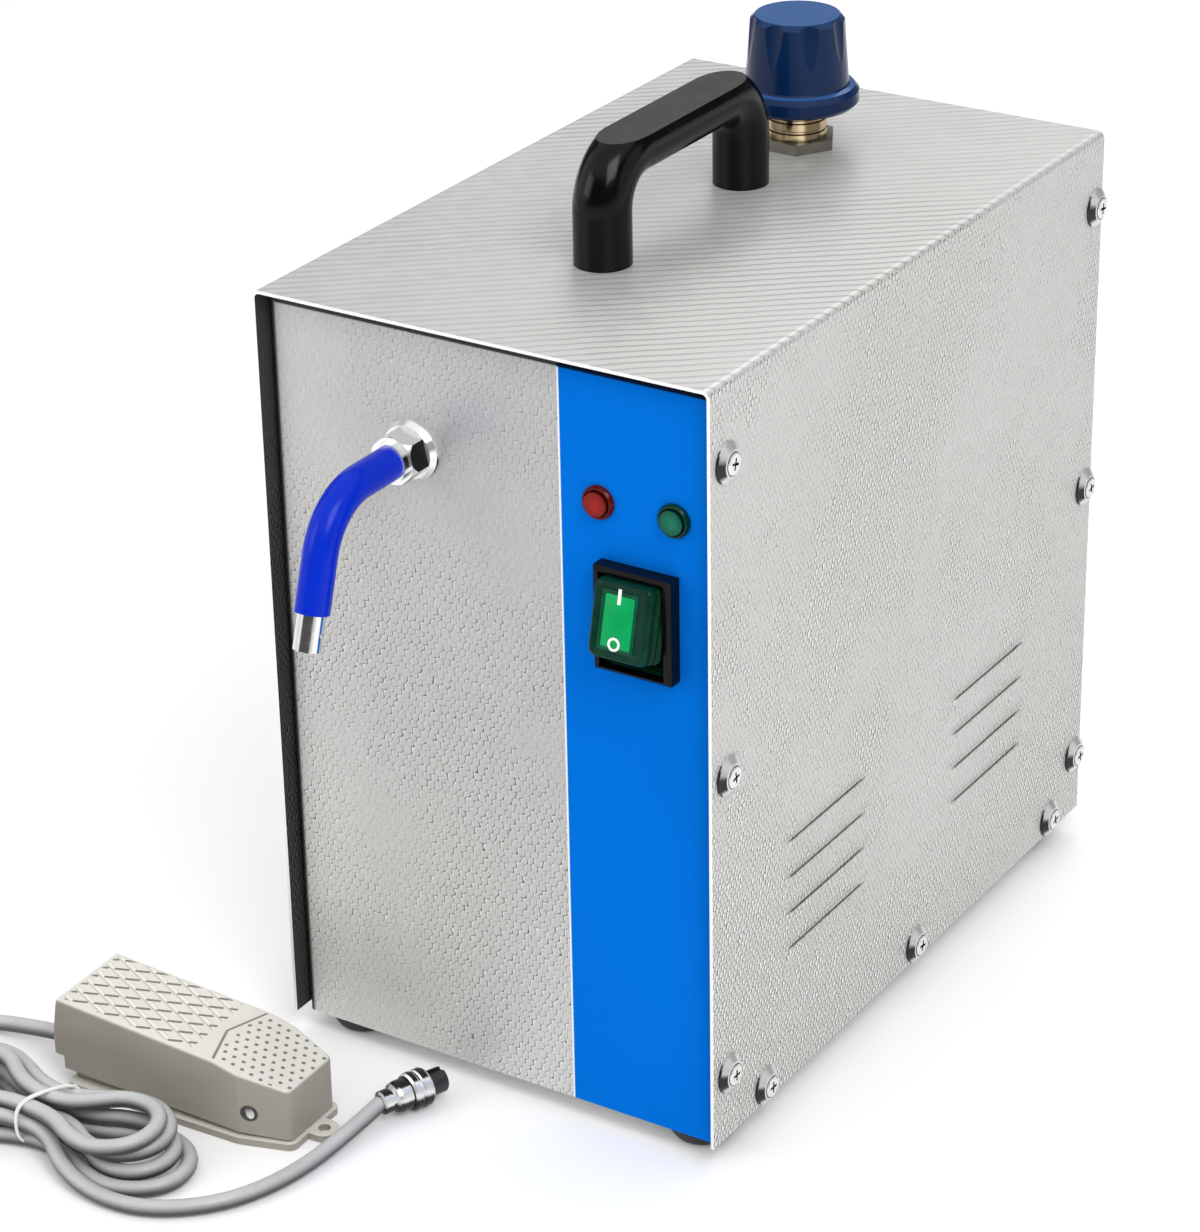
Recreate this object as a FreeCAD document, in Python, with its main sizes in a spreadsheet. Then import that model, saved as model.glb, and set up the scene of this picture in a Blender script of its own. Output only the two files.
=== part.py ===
# Jewelry steam cleaner with foot pedal: a 2 litre boiler in a sheet-metal case,
# a blue-sleeved steam nozzle on the front, and a tethered foot switch.
# Millimetres. X to the right, Y to the back, Z up, Z = 0 on the bench top.
import FreeCAD, Part
import Sketcher
import math
import os
import re

V = FreeCAD.Vector
doc = FreeCAD.newDocument("SteamCleaner")
sheet = doc.addObject("Spreadsheet::Sheet", "Sz")
sheet.Label = "Sizes"

# ---------------------------------------------------------------- sizes
SIZES = [
    # origin of the row seen from the middle of the machine's footprint
    ("org_x", 26.9), ("org_y", 24.5),
    # case
    ("half_w", 90.0), ("half_d", 143.0), ("z_bot", 10.0), ("z_top", 295.0),
    ("gauge", 1.2), ("bend_r", 3.0), ("recess", 6.0), ("side_gap", 1.0),
    ("tray_z", 8.0), ("panel_top", 292.4), ("flange_len", 16.0),
    # case screws: rows seen from the side
    ("screw_front_y", -132.5), ("screw_rear_y", 137.5),
    ("screw_hi", 267.0), ("screw_mid", 153.0), ("screw_lo", 36.0),
    ("screw_row_z", 16.8), ("screw_row_a", -107.0), ("screw_row_b", 5.0), ("screw_row_c", 117.0),
    ("screw_r", 2.0), ("cup_r", 7.4), ("cup_high", 2.6), ("head_r", 3.9),
    # louvres
    ("louvre_z", 64.4), ("louvre_pitch", 14.4), ("louvre_len", 57.5),
    ("louvre_front", -93.3), ("louvre_back", 30.3), ("louvre_out", 0.9), ("louvre_end", 2.6),
    # overlay, lamps, switch on the front panel
    ("film_left", 28.6), ("film_right", 85.6), ("film_low", 8.3), ("film_high", 290.6), ("film_t", 0.4),
    ("lamp_a_x", 44.2), ("lamp_b_x", 73.2), ("lamp_z", 244.6), ("lamp_hole_r", 5.0), ("lamp_rim_r", 6.0),
    ("sw_x", 59.65), ("sw_z", 205.4), ("sw_w", 30.0), ("sw_high", 38.0), ("sw_out", 6.5),
    ("sw_open_w", 25.0), ("sw_open_high", 35.0), ("sw_tilt", 14.0), ("sw_pivot_y", -132.5),
    # nozzle
    ("noz_x", -30.5), ("noz_z", 246.8), ("noz_pipe_r", 4.8), ("noz_bore_r", 3.4),
    ("noz_bend_y", -185.5), ("noz_tip_y", -201.0), ("noz_tip_z", 199.0), ("noz_bend_r", 25.0), ("sleeve_r", 6.1),
    # handle
    ("han_front_y", -63.0), ("han_rear_y", 30.0), ("han_r", 10.25), ("han_axis_z", 331.5), ("han_bend", 18.0),
    ("han_flat_z", 337.0), ("han_under_z", 324.6),
    # filler
    ("fill_x", -3.0), ("fill_y", 76.0), ("neck_r", 10.0), ("neck_bore_r", 7.5), ("nut_af", 26.4),
    ("skirt_z", 311.0), ("cap_top_z", 344.6), ("skirt_r", 22.8), ("cap_base_r", 19.0), ("cap_head_r", 17.3),
    # boiler
    ("boil_r", 60.0), ("boil_low", 58.0), ("boil_high", 244.0), ("boil_wall", 1.5), ("jacket_t", 5.0),
    # feet
    ("foot_x", 73.0), ("foot_y", 122.0), ("foot_r", 12.5),
    # pedal: its own frame runs from the toe (X = 0) to the high end (X < 0)
    ("ped_x", -46.1), ("ped_y", -192.3), ("ped_yaw", 2.0), ("ped_len", 97.0), ("ped_half", 18.7), ("ped_toe", 13.6),
    ("ped_taper", 19.0), ("ped_high", 36.0), ("ped_vee", 30.6), ("ped_low", 23.2), ("ped_vee_x", 29.3),
    ("pin_x", -15.0), ("pin_z", 12.6), ("pin_r", 2.2),
    # cord
    ("cord_r", 3.0),
    # plug
    ("plug_x", -29.2), ("plug_y", -175.0), ("plug_z", 7.2), ("plug_yaw", 68.6),
]
VALUE = dict(SIZES)
for row, (alias, value) in enumerate(SIZES, 1):
    sheet.set("A%d" % row, alias)
    sheet.set("B%d" % row, str(value))
    sheet.setAlias("B%d" % row, alias)
doc.recompute()

WORD = re.compile(r"[a-z][a-z_]+")
TOKEN = re.compile(r"\s*([0-9.]+|[a-z][a-z_]+|[-+*/()])")


def X(text):
    """the text of a size with each alias pointing into the sheet"""
    return WORD.sub(lambda m: "Sz." + m.group(0) if m.group(0) in VALUE else m.group(0), str(text))


def N(text):
    """the number that the text of a size stands for"""
    toks = TOKEN.findall(str(text))
    pos = [0]

    def peek():
        return toks[pos[0]] if pos[0] < len(toks) else None

    def take():
        pos[0] += 1
        return toks[pos[0] - 1]

    def atom():
        t = take()
        if t == "-":
            return -atom()
        if t == "(":
            v = total()
            take()
            return v
        return VALUE[t] if t in VALUE else float(t)

    def product():
        v = atom()
        while peek() in ("*", "/"):
            v = v * atom() if take() == "*" else v / atom()
        return v

    def total():
        v = product()
        while peek() in ("+", "-"):
            v = v + product() if take() == "+" else v - product()
        return v

    return total()


NODES = []


def node(label, obj, x="0", y="0", z="0", yaw=None, own=False):
    """registers a sub-part and puts it where it sits in the row's frame"""
    obj.Label = label
    if not own:
        obj.setExpression("Placement.Base.x", X("org_x + (%s)" % x))
        obj.setExpression("Placement.Base.y", X("org_y + (%s)" % y))
        if str(z) != "0":
            obj.setExpression("Placement.Base.z", X(z))
        if yaw is not None:
            obj.setExpression("Placement.Rotation.Angle", X(yaw))
    NODES.append((label, obj))
    return obj


def body(name):
    return doc.addObject("PartDesign::Body", name + "_body")


def plane_of(b, role):
    return [o for o in b.Origin.OriginFeatures if o.Role == role + "_Plane"][0]


def axis_of(b, role):
    return [o for o in b.Origin.OriginFeatures if o.Role == role + "_Axis"][0]


def sketch(b, plane, off="0"):
    s = b.newObject("Sketcher::SketchObject", b.Name + "_sk")
    s.AttachmentSupport = [(plane_of(b, plane), "")]
    s.MapMode = "FlatFace"
    if str(off) != "0":
        s.setExpression("AttachmentOffset.Base.z", X(off))
    return s


def dim(s, kind, i, p, text):
    c = s.addConstraint(Sketcher.Constraint(kind, -1, 1, i, p, N(text)))
    s.setExpression("Constraints[%d]" % c, X(text))


def poly(s, pts):
    first = len(s.Geometry)
    n = len(pts)
    for k in range(n):
        a, c = pts[k], pts[(k + 1) % n]
        s.addGeometry(Part.LineSegment(V(N(a[0]), N(a[1]), 0), V(N(c[0]), N(c[1]), 0)), False)
    for k in range(n):
        s.addConstraint(Sketcher.Constraint("Coincident", first + k, 2, first + (k + 1) % n, 1))
    for k in range(n):
        dim(s, "DistanceX", first + k, 1, pts[k][0])
        dim(s, "DistanceY", first + k, 1, pts[k][1])
    return s


def rect(s, x0, y0, x1, y1):
    return poly(s, [(x0, y0), (x1, y0), (x1, y1), (x0, y1)])


def circle(s, x, y, r):
    i = s.addGeometry(Part.Circle(V(N(x), N(y), 0), V(0, 0, 1), N(r)), False)
    dim(s, "DistanceX", i, 3, x)
    dim(s, "DistanceY", i, 3, y)
    c = s.addConstraint(Sketcher.Constraint("Radius", i, N(r)))
    s.setExpression("Constraints[%d]" % c, X(r))
    return s


def pad(b, s, length, name="Pad"):
    f = b.newObject("PartDesign::Pad", b.Name + name)
    f.Profile = s
    f.setExpression("Length", X(length))
    return f


def pocket(b, s, length):
    f = b.newObject("PartDesign::Pocket", b.Name + "_cut")
    f.Profile = s
    f.setExpression("Length", X(length))
    return f


def turned(b, pts, groove=False):
    """revolves a profile of (radius, height) about the body's own Z"""
    s = sketch(b, "XZ")
    poly(s, pts)
    f = b.newObject("PartDesign::Groove" if groove else "PartDesign::Revolution", b.Name + "_rev")
    f.Profile = s
    f.ReferenceAxis = (s, ["V_Axis"])
    f.Angle = 360
    return f


def dress(b, kind, base, size, pick):
    """fillet or chamfer of the edges that pick() accepts"""
    doc.recompute()
    names = ["Edge%d" % (k + 1) for k, e in enumerate(base.Shape.Edges) if pick(e)]
    if not names:
        raise ValueError("no edge for %s of %s" % (kind, b.Name))
    f = b.newObject("PartDesign::" + kind, b.Name + "_" + kind.lower())
    f.Base = (base, names)
    f.setExpression("Radius" if kind == "Fillet" else "Size", X(size))
    return f


def ends(e):
    a, c = e.Vertexes[0].Point, e.Vertexes[-1].Point
    return a, c


def near(a, c, tol=0.02):
    return abs(a - c) < tol


def along(e, axis):
    """is the edge a straight one along this axis"""
    if e.Curve.TypeId != "Part::GeomLine":
        return False
    a, c = ends(e)
    d = (c - a).normalize()
    return abs(abs(d[axis]) - 1) < 1e-6


# --- plain solids for groups of like fasteners and for swept tubes
def rev(pts):
    """solid of revolution about Z from (radius, height) points"""
    w = Part.makePolygon([V(r, 0, h) for r, h in pts] + [V(pts[0][0], 0, pts[0][1])])
    return Part.Face(w).revolve(V(0, 0, 0), V(0, 0, 1), 360)


def prism(pts, low, high):
    w = Part.makePolygon([V(a, c, low) for a, c in pts] + [V(pts[0][0], pts[0][1], low)])
    return Part.Face(w).extrude(V(0, 0, high - low))


def hexagon(af, low, high):
    r = af / math.sqrt(3)
    return prism([(r * math.cos(math.radians(60 * k)), r * math.sin(math.radians(60 * k))) for k in range(6)], low, high)


def turn(shape, axis, deg):
    s = shape.copy()
    s.rotate(V(0, 0, 0), axis, deg)
    return s


def move(shape, x, y, z):
    s = shape.copy()
    s.translate(V(x, y, z))
    return s


def group(label, shapes):
    f = doc.addObject("Part::Feature", label + "_group")
    if len(shapes) > 1:
        f.Shape = Part.makeCompound(shapes)
    else:
        s = shapes[0].copy()
        m = s.Placement.toMatrix()
        s.Placement = FreeCAD.Placement()
        f.Shape = s.transformed(m, True)
    return node(label, f)


def path_wire(pts, radii):
    """straight runs joined by tangent arcs, one radius for each inner corner"""
    pts = [V(*p) for p in pts]
    edges = []
    last = pts[0]
    for k in range(1, len(pts) - 1):
        a, c, d = pts[k - 1], pts[k], pts[k + 1]
        u = (a - c).normalize()
        w = (d - c).normalize()
        ang = u.getAngle(w)
        t = radii[k - 1] / math.tan(ang / 2)
        p, q = c + u * t, c + w * t
        mid = (u + w).normalize()
        centre = c + mid * (radii[k - 1] / math.sin(ang / 2))
        m = centre - mid * radii[k - 1]
        if (p - last).Length > 1e-4:
            edges.append(Part.LineSegment(last, p).toShape())
        edges.append(Part.Arc(p, m, q).toShape())
        last = q
    if (pts[-1] - last).Length > 1e-4:
        edges.append(Part.LineSegment(last, pts[-1]).toShape())
    return Part.Wire(edges)


def tube(wire, r):
    start = wire.Edges[0]
    p = start.valueAt(start.FirstParameter)
    d = start.tangentAt(start.FirstParameter)
    ring = Part.Wire([Part.makeCircle(r, p, d)])
    return wire.makePipeShell([ring], True, False)


def cord_radii(pts):
    """arc radius at each inner corner: 0.45 of the shorter run over tan(half the turn)"""
    out = []
    for k in range(1, len(pts) - 1):
        a, c, d = V(*pts[k - 1]), V(*pts[k]), V(*pts[k + 1])
        turn_angle = (c - a).getAngle(d - c)
        out.append(0.45 * min((c - a).Length, (d - c).Length) / math.tan(turn_angle / 2))
    return out


# ================================================================ case
# cover: one bent sheet, left side, top and right side
b = body("cover_shell")
s = sketch(b, "XZ", "-half_d")
poly(s, [("-half_w", "z_bot"), ("-half_w + gauge", "z_bot"), ("-half_w + gauge", "z_top - gauge"),
         ("half_w - gauge", "z_top - gauge"), ("half_w - gauge", "z_bot"), ("half_w", "z_bot"),
         ("half_w", "z_top"), ("-half_w", "z_top")])
f = pad(b, s, "half_d * 2")
f = dress(b, "Fillet", f, "bend_r", lambda e: along(e, 1) and near(abs(ends(e)[0].x), N("half_w")) and near(ends(e)[0].z, N("z_top")))
f = dress(b, "Fillet", f, "bend_r - gauge", lambda e: along(e, 1) and near(abs(ends(e)[0].x), N("half_w - gauge")) and near(ends(e)[0].z, N("z_top - gauge")))
s = sketch(b, "XY", "z_top + 5")
circle(s, "0", "han_front_y", "2.75")
circle(s, "0", "han_rear_y", "2.75")
circle(s, "fill_x", "fill_y", "neck_r + 0.5")
pocket(b, s, "12")
s = sketch(b, "YZ", "half_w + 10")
SIDE = [("screw_front_y", "screw_hi"), ("screw_front_y", "screw_mid"), ("screw_front_y", "screw_lo"),
        ("screw_rear_y", "screw_hi"), ("screw_rear_y", "screw_mid"), ("screw_rear_y", "screw_lo"),
        ("screw_row_a", "screw_row_z"), ("screw_row_b", "screw_row_z"), ("screw_row_c", "screw_row_z")]
for y, z in SIDE:
    circle(s, y, z, "screw_r + 0.25")
pocket(b, s, "half_w * 2 + 20")
# louvres: four pressed hoods a column, two columns a side. Each lip stands off the
# sheet at the top, over a slit, and the hood fades into the sheet below
for y0 in ("louvre_front", "louvre_back"):
    s = sketch(b, "XZ", "-(%s + louvre_len)" % y0)
    for side in ("", "-"):
        for k in range(4):
            z = "louvre_z + %d * louvre_pitch" % k
            poly(s, [("%s(half_w - 0.5)" % side, z), ("%s(half_w + louvre_out)" % side, z),
                     ("%s(half_w + louvre_out)" % side, z + " - 0.9"), ("%s(half_w - 0.1)" % side, z + " - 9.8"),
                     ("%s(half_w - 0.5)" % side, z + " - 9.8")])
    pad(b, s, "louvre_len", "_hood")
    # both ends of a hood slope back to the sheet
    s = sketch(b, "XY", "louvre_z + 3 * louvre_pitch + 2")
    for side in ("", "-"):
        for y, d in ((y0, "+"), ("%s + louvre_len" % y0, "-")):
            b0 = "-" if d == "+" else "+"
            poly(s, [("%s(half_w)" % side, "%s %s 1" % (y, b0)), ("%s(half_w + louvre_out * 2)" % side, "%s %s 1" % (y, b0)),
                     ("%s(half_w + louvre_out * 2)" % side, "%s %s louvre_end * 2" % (y, d)), ("%s(half_w)" % side, y)])
    pocket(b, s, "3 * louvre_pitch + 16")
    s = sketch(b, "XZ", "-(%s + louvre_end + 0.6)" % y0)
    for side in ("", "-"):
        for k in range(4):
            z = "louvre_z + %d * louvre_pitch" % k
            poly(s, [("%s(half_w - 2)" % side, z + " + 0.1"), ("%s(half_w + louvre_out - 0.55)" % side, z + " + 0.1"),
                     ("%s(half_w + louvre_out - 0.55)" % side, z + " - 1.2"), ("%s(half_w - 0.9)" % side, z + " - 7.6"),
                     ("%s(half_w - 2)" % side, z + " - 7.6")])
    pocket(b, s, "louvre_len - 2 * louvre_end - 1.2")
node("cover_shell", b)

# front panel: recessed, both side edges bent back into flanges that take the cover screws
b = body("front_panel")
s = sketch(b, "XY", "tray_z")
fx, fy = "half_w - gauge - side_gap", "-half_d + recess"
poly(s, [("-(%s)" % fx, fy), (fx, fy), (fx, fy + " + flange_len"), (fx + " - gauge", fy + " + flange_len"),
         (fx + " - gauge", fy + " + gauge"), ("-(%s - gauge)" % fx, fy + " + gauge"),
         ("-(%s - gauge)" % fx, fy + " + flange_len"), ("-(%s)" % fx, fy + " + flange_len")])
f = pad(b, s, "panel_top - tray_z")
f = dress(b, "Fillet", f, "2.5", lambda e: along(e, 2) and near(abs(ends(e)[0].x), N(fx)) and near(ends(e)[0].y, N(fy)))
f = dress(b, "Fillet", f, "1.3", lambda e: along(e, 2) and near(abs(ends(e)[0].x), N(fx + " - gauge")) and near(ends(e)[0].y, N(fy + " + gauge")))
s = sketch(b, "XZ", "half_d")
circle(s, "noz_x", "noz_z", "7")
circle(s, "lamp_a_x", "lamp_z", "lamp_hole_r")
circle(s, "lamp_b_x", "lamp_z", "lamp_hole_r")
rect(s, "sw_x - 13.1", "sw_z - 16.1", "sw_x + 13.1", "sw_z + 16.1")
pocket(b, s, "recess + 5")
s = sketch(b, "YZ", "half_w + 10")
for z in ("screw_hi", "screw_mid", "screw_lo"):
    circle(s, "screw_front_y", z, "screw_r")
pocket(b, s, "half_w * 2 + 20")
node("front_panel", b)

# rear panel: the same, facing back, with the cut-outs for the electrics and the drain cock
b = body("rear_panel")
s = sketch(b, "XY", "tray_z")
ry = "half_d - 0.4"
poly(s, [("-(%s)" % fx, ry), ("-(%s)" % fx, ry + " - flange_len"), ("-(%s - gauge)" % fx, ry + " - flange_len"),
         ("-(%s - gauge)" % fx, ry + " - gauge"), (fx + " - gauge", ry + " - gauge"),
         (fx + " - gauge", ry + " - flange_len"), (fx, ry + " - flange_len"), (fx, ry)])
f = pad(b, s, "panel_top - tray_z")
f = dress(b, "Fillet", f, "2.5", lambda e: along(e, 2) and near(abs(ends(e)[0].x), N(fx)) and near(ends(e)[0].y, N(ry)))
s = sketch(b, "XZ", "-half_d - 5")
rect(s, "-59.2", "32.9", "-30.8", "53.1")
circle(s, "58", "85", "5.7")
circle(s, "-58", "85", "6.1")
circle(s, "45", "40", "8.2")
f = b.newObject("PartDesign::Pocket", "rear_cutouts")
f.Profile = s
f.Length = 12
f.Reversed = True
s = sketch(b, "YZ", "half_w + 10")
for z in ("screw_hi", "screw_mid", "screw_lo"):
    circle(s, "screw_rear_y", z, "screw_r")
pocket(b, s, "half_w * 2 + 20")
node("rear_panel", b)

# bottom tray between the two panels
b = body("base_tray")
s = sketch(b, "XZ", "-123")
poly(s, [("-(%s)" % fx, "tray_z"), (fx, "tray_z"), (fx, "tray_z + 16"), (fx + " - gauge", "tray_z + 16"),
         (fx + " - gauge", "tray_z + gauge"), ("-(%s - gauge)" % fx, "tray_z + gauge"),
         ("-(%s - gauge)" % fx, "tray_z + 16"), ("-(%s)" % fx, "tray_z + 16")])
f = pad(b, s, "241")
f = dress(b, "Fillet", f, "1.5", lambda e: along(e, 1) and near(abs(ends(e)[0].x), N(fx)) and near(ends(e)[0].z, N("tray_z")))
s = sketch(b, "XY", "tray_z")
rect(s, "-(%s - 2.6)" % (fx), fy + " + gauge", fx + " - 2.6", "-115")
pad(b, s, "gauge", "_tongue")
s = sketch(b, "XY", "tray_z")
rect(s, "-(%s - 2.6)" % (fx), "120", fx + " - 2.6", ry + " - gauge")
pad(b, s, "gauge", "_tongue")
s = sketch(b, "XY", "tray_z + 5")
for x in ("-foot_x", "foot_x"):
    for y in ("-foot_y", "foot_y"):
        circle(s, x, y, "2")
pocket(b, s, "10")
s = sketch(b, "YZ", "half_w + 10")
for y in ("screw_row_a", "screw_row_b", "screw_row_c"):
    circle(s, y, "screw_row_z", "screw_r")
pocket(b, s, "half_w * 2 + 20")
node("base_tray", b)

# printed film on the right part of the front panel
b = body("overlay_film")
s = sketch(b, "XZ", "half_d - recess")
rect(s, "film_left", "film_low", "film_right", "film_high")
f = pad(b, s, "film_t")
f = dress(b, "Fillet", f, "3.5", lambda e: along(e, 1) and ends(e)[0].x > N("film_right") - 0.1 and ends(e)[0].z > N("film_high") - 1)
f = dress(b, "Fillet", f, "1.2", lambda e: along(e, 1) and ends(e)[0].x < N("film_left") + 0.1 and ends(e)[0].z > N("film_high") - 1)
s = sketch(b, "XZ", "half_d")
circle(s, "lamp_a_x", "lamp_z", "lamp_hole_r")
circle(s, "lamp_b_x", "lamp_z", "lamp_hole_r")
rect(s, "sw_x - 13.1", "sw_z - 16.1", "sw_x + 13.1", "sw_z + 16.1")
pocket(b, s, "recess + 2")
node("overlay_film", b)

# cover screws: low flat head, cross recess, sunk in conical cup washers, nine a side
cr, ch, hr, sr = N("cup_r"), N("cup_high"), N("head_r"), N("screw_r")
screw = rev([(0, -9), (sr, -9), (sr, ch - 1.7), (2.2, ch - 1.4), (hr, ch - 1.4), (hr, ch + 0.15), (hr - 0.4, ch + 0.5), (hr - 1.8, ch + 0.62), (0, ch + 0.65)])
cross = Part.makeBox(4.2, 0.9, 1.6, V(-2.1, -0.45, ch - 0.65)).fuse(Part.makeBox(0.9, 4.2, 1.6, V(-0.45, -2.1, ch - 0.65)))
screw = screw.cut(cross)
cup = rev([(sr + 0.25, 0), (cr, 0), (cr, 0.55), (cr - 0.3, 0.85), (hr + 1.0, ch - 0.15), (hr + 0.6, ch), (hr + 0.3, ch), (hr + 0.3, ch - 1.4), (sr + 0.25, ch - 1.4)])
screws, cups = [], []
for side in (1, -1):
    for k, (y, z) in enumerate(SIDE):
        for base, out in ((screw, screws), (cup, cups)):
            t = turn(base, V(0, 0, 1), (23 * k) % 31 - 15)
            t = turn(t, V(0, 1, 0), 90 * side)
            out.append(move(t, side * N("half_w"), N(y), N(z)))
group("cover_screws", screws)
group("cup_washers", cups)

# feet and their screws
tz, fr = N("tray_z"), N("foot_r")
foot = rev([(2.1, 4), (3.9, 4), (3.9, 0), (8.2, 0), (10.2, 0.9), (11.6, 2.8), (fr - 0.2, 5.2), (fr, tz), (2.1, tz)])
fscrew = rev([(0, 1.4), (2.6, 1.4), (3.7, 2.1), (3.7, 4), (2, 4), (2, tz + 7), (0, tz + 7)])
spots = [(sx * N("foot_x"), sy * N("foot_y")) for sx in (-1, 1) for sy in (-1, 1)]
group("feet", [move(foot, x, y, 0) for x, y in spots])
group("foot_screws", [move(fscrew, x, y, 0) for x, y in spots])

# ================================================================ handle
b = body("handle")
sp = sketch(b, "YZ")
zr = "han_axis_z - han_bend"
g = [((("han_front_y"), "z_top"), ("han_front_y", zr)), (("han_front_y + han_bend", "han_axis_z"), ("han_rear_y - han_bend", "han_axis_z")),
     (("han_rear_y", zr), ("han_rear_y", "z_top"))]
for a, c in g:
    i = sp.addGeometry(Part.LineSegment(V(N(a[0]), N(a[1]), 0), V(N(c[0]), N(c[1]), 0)), False)
    for p, q in ((1, a), (2, c)):
        dim(sp, "DistanceX", i, p, q[0])
        dim(sp, "DistanceY", i, p, q[1])
c1 = V(N("han_front_y + han_bend"), N(zr), 0)
c2 = V(N("han_rear_y - han_bend"), N(zr), 0)
i = sp.addGeometry(Part.ArcOfCircle(Part.Circle(c1, V(0, 0, 1), N("han_bend")), math.pi / 2, math.pi), False)
sp.addConstraint(Sketcher.Constraint("Coincident", i, 2, 0, 2))
sp.addConstraint(Sketcher.Constraint("Coincident", i, 1, 1, 1))
c = sp.addConstraint(Sketcher.Constraint("Radius", i, N("han_bend")))
sp.setExpression("Constraints[%d]" % c, X("han_bend"))
i = sp.addGeometry(Part.ArcOfCircle(Part.Circle(c2, V(0, 0, 1), N("han_bend")), 0, math.pi / 2), False)
sp.addConstraint(Sketcher.Constraint("Coincident", i, 2, 1, 2))
sp.addConstraint(Sketcher.Constraint("Coincident", i, 1, 2, 1))
c = sp.addConstraint(Sketcher.Constraint("Radius", i, N("han_bend")))
sp.setExpression("Constraints[%d]" % c, X("han_bend"))
pr = sketch(b, "XY", "z_top")
circle(pr, "0", "han_front_y", "han_r")
f = b.newObject("PartDesign::AdditivePipe", "handle_pipe")
f.Profile = pr
f.Spine = (sp, ["Edge1", "Edge4", "Edge2", "Edge5", "Edge3"])
doc.recompute()
# flat on top of the grip and a smaller one below it
s = sketch(b, "XY", "han_axis_z + han_r + 5")
rect(s, "-20", "han_front_y - 20", "20", "han_rear_y + 20")
pocket(b, s, "han_axis_z + han_r + 5 - han_flat_z")
s = sketch(b, "XY", "han_under_z")
rect(s, "-20", "han_front_y + han_bend", "20", "han_rear_y - han_bend")
pocket(b, s, "8")
s = sketch(b, "XY", "z_top")
circle(s, "0", "han_front_y", "2.5")
circle(s, "0", "han_rear_y", "2.5")
f = b.newObject("PartDesign::Pocket", "handle_bores")
f.Profile = s
f.Length = 18
f.Reversed = True
node("handle", b)
hs = rev([(0, -4.2), (3.2, -4.2), (4.6, -3.2), (4.6, -1.2), (2.5, -1.2), (2.5, 17), (0, 17)])
group("handle_screws", [move(hs, 0, N(y), N("z_top")) for y in ("han_front_y", "han_rear_y")])

# ================================================================ filler neck and cap
# brass neck, welded in the boiler top and clamped to the cover by the nut
b = body("filler_neck")
turned(b, [("neck_bore_r", "boil_high - 6"), ("neck_r", "boil_high - 6"), ("neck_r", "z_top + 4"), ("11.3", "z_top + 4.2"), ("11.3", "z_top + 6.6"),
           ("10.7", "z_top + 7"), ("10.7", "z_top + 7.6"), ("11.2", "z_top + 8"), ("11.2", "z_top + 10.6"), ("10.6", "z_top + 11"),
           ("10.6", "z_top + 11.8"), ("11", "z_top + 12.2"), ("11", "z_top + 15"), ("neck_r", "z_top + 15.4"),
           ("neck_r", "z_top + 28"), ("neck_bore_r", "z_top + 28")])
node("filler_neck", b, "fill_x", "fill_y")

b = body("neck_nut")
s = sketch(b, "XY", "z_top")
hx = [("nut_af * 0.57735", "0"), ("nut_af * 0.288675", "nut_af * 0.5"), ("-nut_af * 0.288675", "nut_af * 0.5"),
      ("-nut_af * 0.57735", "0"), ("-nut_af * 0.288675", "-nut_af * 0.5"), ("nut_af * 0.288675", "-nut_af * 0.5")]
poly(s, hx)
circle(s, "0", "0", "neck_r")
pad(b, s, "4")
node("neck_nut", b, "fill_x", "fill_y", yaw="-2")

b = body("neck_gasket")
turned(b, [("neck_r", "z_top - gauge - 3.2"), ("15", "z_top - gauge - 3.2"), ("15", "z_top - gauge"), ("neck_r", "z_top - gauge")])
node("neck_gasket", b, "fill_x", "fill_y")

# cap: seal, brass thread insert, relief valve, knob
b = body("cap_seal")
turned(b, [("7.9", "z_top + 28"), ("9.6", "z_top + 28"), ("9.6", "z_top + 29.2"), ("7.9", "z_top + 29.2")])
node("cap_seal", b, "fill_x", "fill_y")

b = body("cap_insert")
turned(b, [("neck_r + 0.06", "skirt_z + 1.2"), ("13", "skirt_z + 1.2"), ("13", "z_top + 33"), ("2.6", "z_top + 33"), ("2.6", "z_top + 29.2"), ("neck_r + 0.06", "z_top + 29.2")])
node("cap_insert", b, "fill_x", "fill_y")

b = body("cap_knob")
f = turned(b, [("11.6", "skirt_z"), ("skirt_r - 1.2", "skirt_z"), ("skirt_r", "skirt_z + 1.4"), ("skirt_r", "skirt_z + 5.4"), ("skirt_r - 1.6", "skirt_z + 7.2"),
               ("cap_base_r + 0.5", "skirt_z + 7.8"), ("cap_base_r", "skirt_z + 8.4"), ("cap_head_r", "cap_top_z - 1.8"), ("cap_head_r - 1.8", "cap_top_z"),
               ("0", "cap_top_z"), ("0", "cap_top_z - 3.2"), ("7", "cap_top_z - 3.2"), ("7", "z_top + 33"), ("13", "z_top + 33"),
               ("13", "skirt_z + 1.2"), ("11.6", "skirt_z + 1.2")])
# finger scoops, deepest under the top edge and run out half-way down
s = b.newObject("PartDesign::SubtractiveCylinder", "cap_scoop")
s.Radius = 9.0
s.Height = 40.0
s.Placement = FreeCAD.Placement(V(28.35, 0, N("cap_top_z") - 22.0), FreeCAD.Rotation(V(0, 1, 0), -9.0))
doc.recompute()
pp = b.newObject("PartDesign::PolarPattern", "cap_scoops")
pp.Originals = [s]
pp.Axis = (axis_of(b, "Z"), [""])
pp.Angle = 360
pp.Occurrences = 8
b.Tip = pp
node("cap_knob", b, "fill_x", "fill_y")

b = body("relief_poppet")
turned(b, [("0", "z_top + 30"), ("2.54", "z_top + 30"), ("2.54", "z_top + 33"), ("4.6", "z_top + 33"), ("4.6", "z_top + 34.4"), ("1.5", "z_top + 34.4"), ("1.5", "z_top + 41.5"), ("0", "z_top + 41.5")])
node("relief_poppet", b, "fill_x", "fill_y")


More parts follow.
